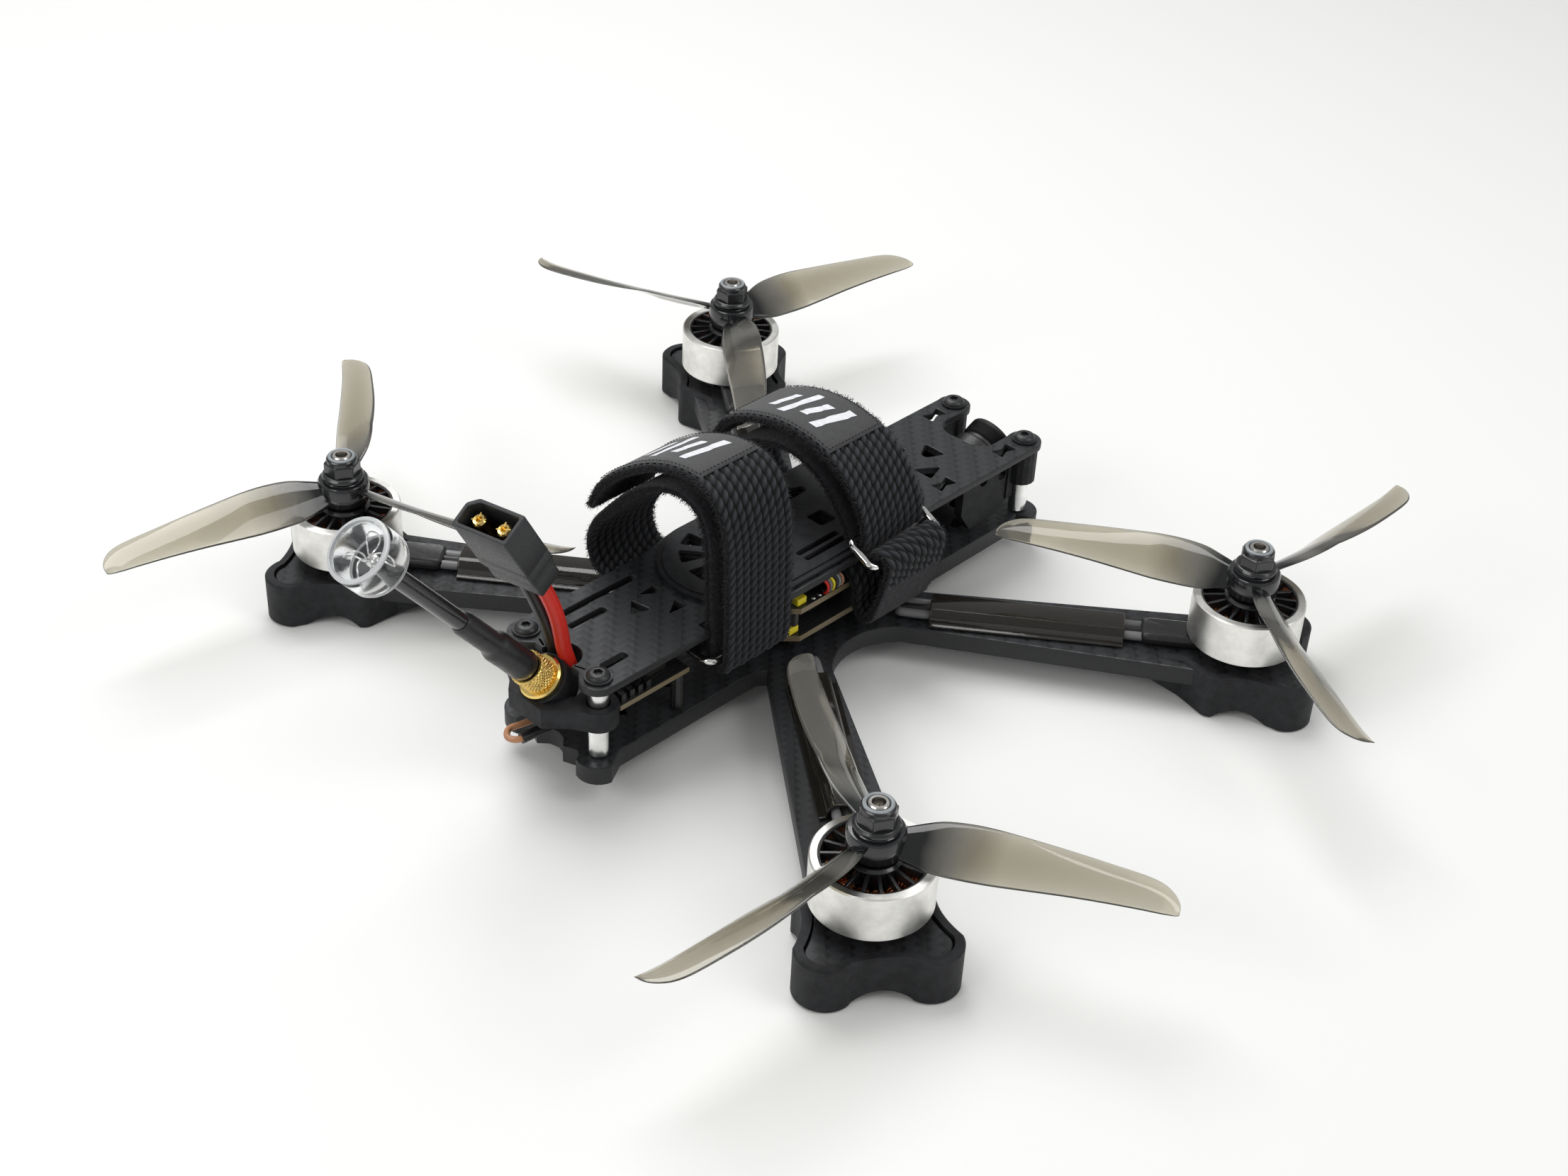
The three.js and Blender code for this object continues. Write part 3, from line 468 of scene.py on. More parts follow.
def knit():
    """The outside of the webbing: fine yarn over the chain-knit relief that the mesh already has, with
    painted shade: darker in the knit's gaps and lighter on its links.
    """
    s = Shader("webbing_knit", rough=0.85, Specular_IOR_Level=0.2, Sheen_Weight=0.12, Sheen_Roughness=0.5)
    u, v, _, _ = s.axes(1.0, "UV")
    yarn = s.noise(s.joined(s.mul(u, 2.0), s.mul(v, 6.0)), 1.4, 5.0, 0.65)
    relief = s.node("ShaderNodeAttribute", attribute_name="relief").outputs["Fac"]
    # Painted shade and highlight: the colour follows the knit's height, dark in the gaps and lighter on the
    # links, plus random yarn tone.
    relief_shade_and_yarn = s.add(s.mul(relief, 0.75), s.mul(yarn, 0.4))
    s.set("Base Color", s.ramp(relief_shade_and_yarn, (0.0012, 0.0013, 0.0016), (0.044, 0.047, 0.054), (0.36, 1.05)))
    s.bump(yarn, 0.12, 0.8)
    return s.material


def loop_pile():
    """The inside of the webbing: short dense pile."""
    s = Shader("webbing_pile", rough=0.95, Specular_IOR_Level=0.1, Sheen_Weight=0.15, Sheen_Roughness=0.6)
    vector = s.axes()[3]
    tuft, fine = s.noise(vector, 0.9, 5.0, 0.7), s.noise(vector, 5.0, 3.0, 0.7)
    s.set("Base Color", s.ramp(tuft, (0.004, 0.004, 0.006), (0.030, 0.031, 0.037), (0.3, 0.75)))
    s.bump(s.add(tuft, s.mul(fine, 0.5)), 0.5, 0.9)
    return s.material


def satin_label(name, low, high):
    s = Shader(name, rough=0.55, Sheen_Weight=0.2)
    u, v, _, vector = s.axes(1.0, "UV")
    threads = s.mul(s.wave(u, 0.35), s.wave(v, 0.35))
    worn = s.noise(vector, 0.6, 4.0)
    s.set("Base Color", s.ramp(s.add(worn, s.mul(threads, 0.2)), low, high, (0.2, 0.8)))
    s.bump(threads, 0.05, 0.6)
    return s.material


def solder_mask(name, low, high):
    """Circuit board: near-black mask and parts, and tan glass fibre on the cut edges between low and high."""
    s = Shader(name, rough=0.35)
    x, _, z, vector = s.axes()
    lines = s.math("SINE", s.mul(s.add(x, s.noise(vector, 0.3)), 5.0))
    track = s.math("GREATER_THAN", lines, 0.6)
    mask = s.mix(track, (0.010, 0.011, 0.012, 1), (0.022, 0.022, 0.020, 1))
    fibre = s.ramp(s.noise(vector, 4.0), (0.13, 0.10, 0.055), (0.25, 0.20, 0.12))
    within = s.math("COMPARE", z, (low + high) / 2, (high - low) / 2 + 0.05)
    flat = s.math("MAXIMUM", s.flat(), s.math("SUBTRACT", 1.0, within))
    s.set("Base Color", s.mix(flat, fibre, mask))
    s.bump(track, 0.04, 0.5)
    return s.material


def pale_floor():
    s = Shader("studio_floor", (0.81, 0.81, 0.795), 0.5, Specular_IOR_Level=0.25)
    vector = s.axes(1.0)[3]
    s.set("Base Color", s.ramp(s.noise(vector, 2.0, 2.0), (0.805, 0.806, 0.792), (0.825, 0.826, 0.810)))
    return s.material


M = {
    "carbon": carbon(),
    "printed": printed(),
    "bell": turned_metal("satin_bell", (0.86, 0.85, 0.82), 0.36),
    "post": turned_metal("bright_post", (0.93, 0.93, 0.92), 0.2),
    "steel": turned_metal("shaft_steel", (0.62, 0.60, 0.57), 0.2),
    "ring": gloss("polished_ring", (0.82, 0.81, 0.79), 0.08, metal=1.0),
    "gold": gloss("gold_plate", (0.83, 0.60, 0.20), 0.2, metal=1.0),
    "black_metal": gloss("black_anodised", (0.012, 0.0125, 0.014), 0.22, Specular_IOR_Level=0.7),
    "screw": gloss("black_oxide", (0.014, 0.0145, 0.016), 0.38),
    "hub": gloss("hub_plastic", (0.012, 0.0125, 0.014), 0.16, Coat_Weight=0.4),
    "blade": smoked("blade_smoke", (0.72, 0.70, 0.63), (0.008, 0.0085, 0.009), (0.70, 0.66, 0.56), 2600),
    "cover": smoked("cover_smoke", (0.17, 0.15, 0.125), (0.17, 0.15, 0.125), (0.5, 0.42, 0.3), 1800, 0.05),
    "copper": copper_wire(),
    "core": gloss("stator_core", (0.03, 0.028, 0.025), 0.4),
    "shrink": gloss("heat_shrink", (0.012, 0.012, 0.013), 0.36, bump=0.03, scale=0.8),
    "red": gloss("red_silicone", (0.60, 0.022, 0.012), 0.38, 0.05),
    "lead_grey": gloss("grey_silicone", (0.16, 0.16, 0.165), 0.38),
    "black_silicone": gloss("black_silicone", (0.014, 0.014, 0.015), 0.36),
    "plug": gloss("plug_nylon", (0.020, 0.021, 0.023), 0.45, bump=0.03),
    "case": gloss("camera_case", (0.012, 0.012, 0.013), 0.42),
    "glass": gloss("lens_glass", (0.012, 0.010, 0.020), 0.04, Coat_Weight=1.0, Coat_Roughness=0.02),
    "clear": gloss("clear_cap", (0.96, 0.97, 0.98), 0.06, 0.01, Transmission_Weight=1.0, IOR=1.3),
    "rim": gloss("cap_rim", (0.85, 0.86, 0.87), 0.2, 0.02, Transmission_Weight=0.55, IOR=1.3),
    "coax": gloss("coax_jacket", (0.42, 0.20, 0.10), 0.3, 0.15),
    "nylon": gloss("nylon_collar", (0.24, 0.26, 0.27), 0.4, 0.05),
    "tantalum": gloss("tantalum_yellow", (0.75, 0.62, 0.02), 0.4),
    "tin": gloss("tinned_pads", (0.72, 0.71, 0.69), 0.25, metal=1.0),
    "chip": gloss("chip_black", (0.02, 0.02, 0.022), 0.4),
    "esc_board": solder_mask("speed_control_board", 15.8, 17.4),
    "flight_controller": solder_mask("flight_board", 23.6, 25.2),
    "video_transmitter": solder_mask("video_board", 22.0, 23.4),
    "knit": knit(),
    "pile": loop_pile(),
    "label": satin_label("label_black", (0.008, 0.008, 0.009), (0.026, 0.027, 0.029)),
    "mark": satin_label("label_white", (0.62, 0.63, 0.66), (0.86, 0.87, 0.90)),
    "floor": pale_floor(),
}


# ---- cords ----
RED_ROUTE = [(1.4, -73, 24.6), (1.35, -74.2, 27.5), (1.1, -75.4, 31.5), (0.9, -76.6, 36), (0.8, -77.3, 40.5),
             (0.7, -78.2, 45), (0.6, -79.6, 49.6), (0.5, -81.2, 53.6), (0.46, -82.75, 57.1)]
BLACK_ROUTE = [(-2.6, -73, 24.6), (-2.7, -74.2, 27.5), (-2.8, -75.4, 31.5), (-3, -76.6, 36),
               (-3.4, -77.6, 40.5), (-4.1, -78.8, 45), (-5, -80.2, 49.6), (-5.8, -81.8, 53.6),
               (-6.3, -83.5, 56.8)]
AERIAL_ROUTE = [(-1.8, -72.5, 17.5), (-2.3, -79.7, 16.2), (-3.7, -85.5, 15.8), (-4.5, -89, 15.7),
                (-2.3, -91.2, 15.7), (0.1, -89.8, 15.8), (0.7, -85, 16), (1.2, -80.5, 16.3),
                (1.3, -76.5, 16.9)]
AERIAL_SLEEVE = [(0.2, -89.3, 15.85), (0.7, -85, 16), (1.2, -80.5, 16.3), (1.3, -74.5, 17.2)]


def cord(name, route, diameter, look, node):
    """A free lead along its route, as a smooth tube with flat ends."""
    line = even(catmull(route, 12), 0.6)
    obj = piece(name, sweep(line, diameter / 2, 20), look, node, crease=0)


def plug_frame(part):
    return placed(part, PLUG_AT, spin(PLUG_LEAN, "X") @ spin(PLUG_TURN))


def battery_plug():
    """The plug's shell with its keyed mouth, its rear cover with a lip and two split pins."""
    def section(w, h, nick):
        return rounded([(-w, -h), (w, -h), (w, h), (-w + nick, h), (-w, h - nick * 0.8)], 0.6)

    shell = merge(slab(section(7.85, 4.05, 2.6), 6.3, 9.4, edge=0.15),
                  slab(section(7.85, 4.05, 2.6), 9.2, 22.3, [section(6.8, 3.05, 2.2)[::-1]], 0.25))
    cover = merge(slab(section(7.3, 3.6, 2), 0.1, 6.5, edge=0.6),
                  slab(section(7.6, 3.85, 2.2), 5.2, 6.4, edge=0.2))
    front = piece("battery_plug_shell", plug_frame(shell), "plug", "battery_plug", edge=0.08)
    back = piece("battery_plug_cover", plug_frame(cover), "plug", edge=0.08)
    pins = []
    for x in (-3.6, 3.6):
        pin = lathe([(0.01, 8.6), (1.75, 8.6), (1.75, 9.8), (1.55, 10), (1.6, 19), (1.75, 19.4), (1.7, 20.2),
                     (1.35, 20.6), (0.8, 20.5), (0.7, 19.6), (0.01, 19.6)], 28)
        pins.append(placed(pin, (x, 0, 0)))
        for k in range(4):
            split = block(0.6, 1.79, -0.16, 0.16, 14.5, 20.62)
            pins.append(placed(split, (x, 0, 0), spin(k * math.pi / 2 + 0.3)))
    gold = piece("battery_plug_pins", plug_frame(merge(*pins)), "gold")
    return [front, gold], [back]


def leads():
    front, back = battery_plug()
    cord("battery_wire_red_skin", RED_ROUTE, 3.7, "red", "battery_wire_red")
    cord("battery_wire_black_skin", BLACK_ROUTE, 3.7, "black_silicone", "battery_wire_black")
    tube = sweep(even(catmull(AERIAL_SLEEVE, 10), 0.5), 1.35, 20)
    sleeve = piece("receiver_sleeve", tube, "shrink")
    cord("receiver_lead", AERIAL_ROUTE, 1.6, "coax", "receiver_antenna")


# ---- carbon frame ----
def arm_frame(part, corner):
    """Moves a part made along +X, from the frame's centre, on to one of the arms."""
    x, y = CORNERS[corner]
    return placed(part, turn=spin(math.atan2(y * MOTOR[1], x * MOTOR[0])))


def bent(a, b, c, t):
    """A point of the quadratic curve from a to c, pulled towards b."""
    return tuple(a[i] * (1 - t) ** 2 + b[i] * 2 * t * (1 - t) + c[i] * t * t for i in (0, 1))


def foot_loop(inset, count=12):
    """Half of the foot's outline, from the arm's side round to the front, about the motor."""
    big, small, back = 7.2 - inset, 3.6 - inset / 2, 15.8 - inset
    loop = [(-24.6, 8.3 - inset), (-20, 8.8 - inset), (-14.5, 9.2 - inset)]
    loop += arc(-6.5, back - small, small, 149, 75, count // 2)
    start, top = loop[-1], arc(11.4, 11.4, big, 100, -43, count * 2)
    loop += [bent(start, (1.5, 13.3 - inset), top[0], k / count) for k in range(1, count)] + top
    end, front = top[-1], (15.1 - inset, 0)
    return loop + [bent(end, front, (end[0], -end[1]), k / count) for k in range(1, count // 2 + 1)]


def whole_loop(inset):
    half = foot_loop(inset)
    return half + [(x, -y) for x, y in half[:-1]][::-1]


def foot_underside(x, y):
    """Height of the foot's lower edge: arches in front and at the sides, and a ramp under the arm."""
    front = 2.6 * max(0.0, 1 - (y / 7.2) ** 2) if x > 9 else 0.0
    side = 2.2 * max(0.0, 1 - ((x - 0.3) / 6.6) ** 2) if abs(y) > 9 else 0.0
    ramp = max(0.0, (-13.0 - x) / 11.6) * 5.9
    return front + side + ramp


def feet():
    outer, inner, lip = whole_loop(0.05), whole_loop(2.35), whole_loop(0.55)
    rows = []
    for (ox, oy), (ix, iy), (lx, ly) in zip(outer, inner, lip):
        low = foot_underside(ox, oy)
        top = 12.25 - 0.02 * max(0.0, -14.5 - ox) ** 2
        rows.append([(lx, ly, low), (ox, oy, low + 0.5), (ox, oy, top - 0.5), (lx, ly, top), (ix, iy, top),
                     (ix, iy, 5.6), (ix, iy, low + 0.05 + (5.4 - low) * (ix < -16))])
    verts, faces = grid(rows, closed_v=True)
    floor = slab(inner, 4.9, 6.15, [rounded([(-6, -6), (6, -6), (6, 6), (-6, 6)], 1)])
    part = placed(merge((verts, faces + ends(rows)), floor), (ARM_REACH, 0, 0))
    for corner in CORNERS:
        piece("foot_print_" + corner, arm_frame(part, corner), "printed", "foot_" + corner,
              crease=40)


def main_plate():
    """One flat plate: body, four arms, and a lobed pad under each motor."""
    half_body, angle = 15.0, math.atan2(MOTOR[1], MOTOR[0])
    c, s = math.cos(angle), math.sin(angle)
    pad = [(ARM_REACH + x, y) for x, y in whole_loop(2.65) if x > -13]

    def on_arm(x, y):
        return (x * c - y * s, x * s + y * c)

    # Right-hand half from tail to nose, with the arms' edges meeting arcs at the body.
    rear = [(x, -y) for x, y in (on_arm(px, py) for px, py in pad)]
    front = [on_arm(px, py) for px, py in reversed(pad)]
    waist = arc(40.1, 0, 18, 226, 134, 24)
    tail = [(0, -77.9), (2.4, -78.5), (4.6, -80.6), (8.2, -79.2), (9.6, -80.2)]
    tail += arc(POST[0], -POST[1], 5.7, 250, 350, 8)
    tail += [(half_body, -72), (half_body, -29)] + arc(half_body + 5.2, -29.2, 5.2, 180, 128, 6)
    nose = arc(half_body + 5.2, 29.2, 5.2, -128, -180, 6) + [(half_body, 29), (half_body, 72.5), (14.2, 74.4)]
    nose += arc(POST[0], POST[1], 5.7, -10, 110, 10) + [(8.4, 79.4), (5.6, 80.6), (3.4, 78.2), (0, 77.4)]
    loop = tail + rear + waist + front + nose
    outline = loop + mirror_x(loop[1:-1])
    wedge = rounded([(3, -44), (6.4, -45.5), (3.6, -49.2)], 0.8)
    holes = [[(x, y + dy) for x, y in wedge] for dy in (0, -16, 16)]
    holes.append(rounded([(4, 60.5), (7.8, 61), (7.4, 56.6), (5.6, 56.4)], 0.8))
    holes += [mirror_x(h) for h in holes]
    holes.append(rounded([(-2.2, 67.5), (2.2, 67.5), (1.6, 64.2), (-1.6, 64.2)], 0.8))
    holes.append(circle(0, 0, 5.5))
    for x, y in CORNERS.values():
        holes.append(circle(x * POST[0], y * POST[1], 1.4, 16))
        holes.append(circle(x * MOTOR[0], y * MOTOR[1], 4))
    piece("main_plate_carbon", slab(outline, *BOTTOM_PLATE, holes, 0.35), "carbon", "main_plate")


def slot(x, y0, y1, half=1.1):
    return rounded([(x - half, y0), (x + half, y0), (x + half, y1), (x - half, y1)], 0.9)


def bow_tie(x, y):
    points = [(1.9, 2.9), (0.7, 0), (1.9, -2.9), (-1.9, -2.9), (-0.7, 0), (-1.9, 2.9)]
    return rounded([(x + px, y + py) for px, py in points], 0.5)


def fan_window(angle, near, far):
    def corner(radius, turn):
        return (radius * math.cos(angle + turn), -19 + radius * math.sin(angle + turn))
    return rounded([corner(near, -0.1), corner(far, -0.19), corner(far, 0.19), corner(near, 0.1)], 1.0)


FAN = (-2.75, -2.2, -1.57, -0.94)  # directions of the fan's windows, in radians
WAY = (13.2, -45.4, -22.6)  # the strap's notch in the right-hand edge: x, then y from and to


def top_plate():
    wide, waist = 16.8, 19.4
    swell = [(wide, WAY[1]), (WAY[0], WAY[1]), (WAY[0], WAY[2]), (waist, WAY[2]), (waist, 20), (19.2, 23.5),
             (17.6, 28), (wide, 33.5)]
    tail = [(x, y - 0.2) for x, y in arc(0, -76.6, 5, 90, 0, 10)] + [(5, -78), (7.5, -78)]
    tail += arc(POST[0], -POST[1], 4.6, 240, 345, 10)
    nose = arc(POST[0], POST[1], 4.6, -15, 190, 16) + [(8.1, 74)] + arc(3, 69, 5.15, 0, -90, 10)
    left_swell = [(wide, -38), (17.3, -33), (18.7, -27.5), (waist, -22)] + swell[4:]
    outline = tail + swell + nose + mirror_x(tail[1:] + left_swell + nose)
    holes = [rounded([(-3.8, 55), (2.9, 55), (0.6, 50.2), (-1.4, 50.2)], 1.0),
             rounded([(-4.6, -50.4), (1, -49.4), (-0.6, -54.2)], 0.7),
             rounded([(-12.4, 8.5), (-10.2, 13.5), (-8.6, 13), (-8.2, 7.2)], 0.9),
             rounded([(0.4, 5), (5.4, 5), (5.6, 9.4), (0.8, 9.4)], 0.9),
             slot(-11.5, -66.5, -43, 1), slot(-6.4, -68.2, -57), slot(9.9, -73, -65.4)]
    pairs = [rounded([(2.2, 43.4), (8.2, 43.4), (6.2, 49.4)], 0.8),
             rounded([(2.2, -42.6), (5.6, -42.4), (5.2, -47.4)], 0.7),
             rounded([(4.6, -77), (8, -75.8), (8.3, -76.7), (4.9, -77.9)], 0.4),
             bow_tie(12.2, 68.2), bow_tie(12.2, 43.8)]
    holes += pairs + [mirror_x(h) for h in pairs] + [fan_window(a, 7.5, 14.6) for a in FAN]
    holes += [circle(x * POST[0], y * POST[1], 1.5, 16) for x, y in CORNERS.values()]
    piece("top_plate_carbon", slab(outline, *TOP_PLATE, holes, 0.22), "carbon", "top_plate")


def battery_pad():
    """The raised rubber pad, with a stepped rim and the fan of windows behind its middle."""
    def outline(inset):
        w = 18.4 - inset
        right = arc(0, -21.6, w, 275, 350, 16)
        right = [p for p in right if p[1] < -36.3] + [(14.3, -36.3), (13.4 - inset, -36)]
        right += [(13.4 - inset, -22.6), (w, -22.6 + inset), (w, 22)] + arc(0, 22, w, 6, 86, 16)
        left = mirror_x(arc(0, 22, w, 0, 86, 18)) + [(-w, -21)]
        left += [(-x, y) for x, y in arc(0, -21.6, w, 360, 275, 16)]
        return right + left

    holes = [slot(10.2, -9, 5.5, 0.8), slot(-13, -9, 5.5, 0.8), slot(13, -9, 5.5, 0.8),
             rounded([(-12.6, 7.5), (-10.2, 14.2), (-8.2, 13.6), (-7.8, 7)], 0.9),
             rounded([(0.2, 4.6), (5.6, 4.6), (5.9, 9.8), (0.6, 9.8)], 0.9)]
    holes += [fan_window(a, 7.2, 14.8) for a in FAN]
    part = merge(slab(outline(0.1), 33.8, 34.6, holes, 0.15), slab(outline(1.5), 34.5, 35.08, holes, 0.2))
    piece("battery_pad_print", part, "printed", "battery_pad")


# ---- posts and screws ----
def fasteners():
    """Bright posts between the plates, and button-head screws with a hexagon socket on washers."""
    sides = 36
    post = lathe([(0.01, 11.85), (2.1, 11.85), (2.48, 12.3), (2.48, 30.7), (2.1, 31.15), (0.01, 31.15)], 48)
    washer = lathe([(0.01, 33.8), (3.3, 33.8), (3.3, 34.2), (0.01, 34.2)], 32)
    head = [(0.01, 34.1), (2.85, 34.1), (2.85, 34.5), (2.5, 35), (1.9, 35.35), (1.15, 35.42)]

    def hexagon(angle):
        return 0.98 / math.cos(angle % (math.pi / 3) - math.pi / 6)

    rows = [turn_row(radius, height, sides) for radius, height in head + [(hexagon, 35.38), (hexagon, 34.6)]]
    verts, faces = grid(rows, closed_v=True)
    faces = [face[::-1] for face in faces] + [ends(rows)[1][::-1]]
    screw = merge((verts, faces), washer)
    for corner, (x, y) in CORNERS.items():
        at = (x * POST[0], y * POST[1], 0)
        piece("post_" + corner, placed(post, at), "post", "standoff_" + corner)
        node = "plate_screw_" + corner
        piece("screw_" + corner, placed(screw, at), "screw", node, crease=40)


# ---- motors ----
def windings():
    """Twelve wound teeth, each with six turns of wire round its spoke."""
    coils = []
    for tooth in range(12):
        for turn in range(6):
            x, wide, tall = 6.1 + turn * 0.78, 1.15 + turn * 0.16, 2.9
            ring = rounded([(-wide, -tall), (wide, -tall), (wide, tall), (-wide, tall)], 0.7, 3)
            line = [Vector((x, y, 19.6 + z)) for y, z in ring]
            coils.append(placed(sweep(line, 0.42, 6, closed=True), turn=spin(tooth * math.pi / 6)))
    return merge(*coils)


def stator_core():
    teeth = [lathe([(2.7, 13.2), (4.5, 13.2), (4.5, 23.4), (2.7, 23.4)], 32)]
    for tooth in range(12):
        shoe = merge(block(4, 10.6, -0.7, 0.7, 17, 22.2), block(10.4, 11.4, -2.2, 2.2, 16.8, 22.4))
        teeth.append(placed(shoe, turn=spin(tooth * math.pi / 6)))
    base = lathe([(2.7, 11.9), (8.5, 11.9), (8.5, 13.3), (6.4, 14.4), (2.7, 14.4)], 40)
    leg = block(7, 9.4, -1.5, 1.5, 11.9, 12.8)
    legs = [placed(leg, turn=spin(k * math.pi / 2 + 0.785)) for k in range(4)]
    return merge(base, *teeth, *legs)


def bell_parts():
    """Silver drum, black spoked crown and the steel shaft."""
    drum = lathe([(12.3, 15.35), (13.7, 15.35), (13.97, 15.65), (13.97, 26.9), (13.65, 27.25), (12.15, 27.25),
                  (11.9, 27.0), (11.9, 24.6), (12.3, 24.0)], 96)
    crown = [lathe([(11.45, 26.4), (11.93, 26.4), (11.93, 26.95), (11.45, 26.95)], 72),
             lathe([(2.6, 24.6), (6.1, 24.6), (6.4, 25.4), (6.3, 27.4), (5.6, 28.05), (2.6, 28.05)], 48)]
    for k in range(18):
        rib = [(5.9, -0.42, 27.35), (11.7, -0.36, 26.85), (11.7, 0.36, 26.85), (5.9, 0.42, 27.35),
               (5.9, -0.42, 25.1), (11.7, -0.36, 24.9), (11.7, 0.36, 24.9), (5.9, 0.42, 25.1)]
        faces = [(0, 1, 2, 3), (7, 6, 5, 4), (0, 4, 5, 1), (1, 5, 6, 2), (2, 6, 7, 3), (3, 7, 4, 0)]
        crown.append(placed((rib, faces), turn=spin(k * math.pi / 9)))
    shaft = lathe([(0.01, 14.6), (2.35, 14.6), (2.35, 41.75), (2.1, 42.05), (1.55, 42.05), (1.45, 41.7),
                   (1.4, 38.5), (0.01, 38.5)], 32)
    magnet = block(11.75, 12.35, -2.3, 2.3, 15.8, 24)
    magnets = [placed(magnet, turn=spin(k * math.pi / 7)) for k in range(14)]
    return drum, merge(*crown), shaft, merge(*magnets)


BLADE = [(5.2, 7.0, 0.2, 1.6), (8, 8.8, 0.7, 1.45), (13, 11.6, 1.5, 1.2), (19, 12.4, 2.2, 1.0),
         (25, 12.2, 2.6, 0.85), (33, 11.4, 3.0, 0.75), (40, 10.5, 3.3, 0.68), (48, 9.4, 3.4, 0.6),
         (56, 8.3, 3.3, 0.52), (60, 7.2, 2.8, 0.46), (62.5, 5.4, 1.9, 0.42), (64, 3.3, 0.9, 0.38),
         (64.5, 1.4, 0.1, 0.3)]  # radius, chord, lead of the chord's middle, thickness
PITCH, BLADE_PLANE, BLADE_TIP = 112.0, 32.1, 64.75


def blade(hand):
    """A cambered, twisted blade along +X. Rows run from trailing to leading edge, above and then below."""
    line = catmull([Vector(row[:3]) for row in BLADE], 5)
    thick = catmull([Vector((row[0], row[3], 0)) for row in BLADE], 5)
    rows, across = [], 18
    for (radius, chord, lead), (_, depth, _) in zip(line, thick):
        twist = min(0.62, math.atan(PITCH / (2 * math.pi * radius)))
        row = []
        for k in range(2 * across):
            above = k < across
            t = (k if above else 2 * across - 1 - k) / (across - 1)
            camber = 0.065 * chord * math.sin(math.pi * t) * (1.15 - 0.3 * t)
            off = camber + (1 if above else -1) * (0.1 + 0.5 * (depth - 0.2) * math.sin(math.pi * t) ** 0.7)
            span = (0.5 - t) * chord
            row.append((radius, hand * (span * math.cos(twist) - off * math.sin(twist) + lead),
                        BLADE_PLANE + span * math.sin(twist) + off * math.cos(twist)))
        rows.append(row)
    verts, faces = grid(rows, closed_v=True)
    faces += ends(rows)
    return verts, (faces if hand > 0 else [face[::-1] for face in faces])


def store(obj, name, values):
    obj.data.attributes.new(name, "FLOAT", "POINT").data.foreach_set("value", values)


def motors():
    wires, core = windings(), stator_core()
    drum, crown, shaft, magnets = bell_parts()
    nut = merge(lathe([(2.9, 35.85), (5.3, 35.85), (5.3, 36.4), (4.8, 37.1), (2.9, 37.1)], 40),
                lathe([(2.9, 37), (4.62, 37), (4.62, 39.9), (4.2, 40.4), (2.9, 40.4)], 6),
                lathe([(2.9, 40.2), (3.95, 40.2), (3.9, 41.1), (3.5, 41.6), (2.9, 41.6)], 40))
    collar = lathe([(2.55, 40.6), (3.45, 40.6), (3.45, 41.75), (3.1, 41.95), (2.7, 41.85), (2.55, 41.5)], 32)
    hub = lathe([(2.7, 28.75), (5.6, 28.75), (6.35, 29.6), (6.45, 31), (6.45, 34.6), (6.1, 35.1), (5, 35.2),
                 (4.8, 35.4), (2.7, 35.4)], 56)
    turning = [("bell_drum_", drum, "bell", "bell_silver", "bell_", 25, 0),
               ("bell_crown_", crown, "black_metal", "black_metal", None, 35, 0.12),
               ("shaft_", shaft, "steel", "bell_silver", None, 35, 0),
               ("magnets_", magnets, "steel", "bell_silver", None, 35, 0),
               ("nut_body_", nut, "black_metal", "black_metal", "prop_nut_", 35, 0.15),
               ("nut_collar_", collar, "nylon", "clear_cap", None, 35, 0),
               ("prop_hub_", hub, "hub", "blade_smoke", None, 35, 0)]
    for corner, (sx, sy) in CORNERS.items():
        at, body = (sx * MOTOR[0], sy * MOTOR[1], 0), "rotor_" + corner
        tilt = spin(math.atan2(sy * MOTOR[1], sx * MOTOR[0]))
        piece("winding_" + corner, placed(wires, at, tilt), "copper", "stator_" + corner, crease=0)
        piece("stator_core_" + corner, placed(core, at, tilt), "core")
        for name, part, look, group, node, crease, edge in turning:
            piece(name + corner, placed(part, at), look, node and node + corner, body, crease, edge)
        one = blade(PROP_SPIN[corner])
        for number in range(3):
            part = placed(one, at, spin(PROP_REST[corner] + number * 2 * math.pi / 3))
            node = None if number else "propeller_" + corner
            obj = piece(f"blade_{corner}_{number}", part, "blade", node, body, 0)
            store(obj, "reach", [max(0.0, v[0]) / BLADE_TIP for v in one[0]])


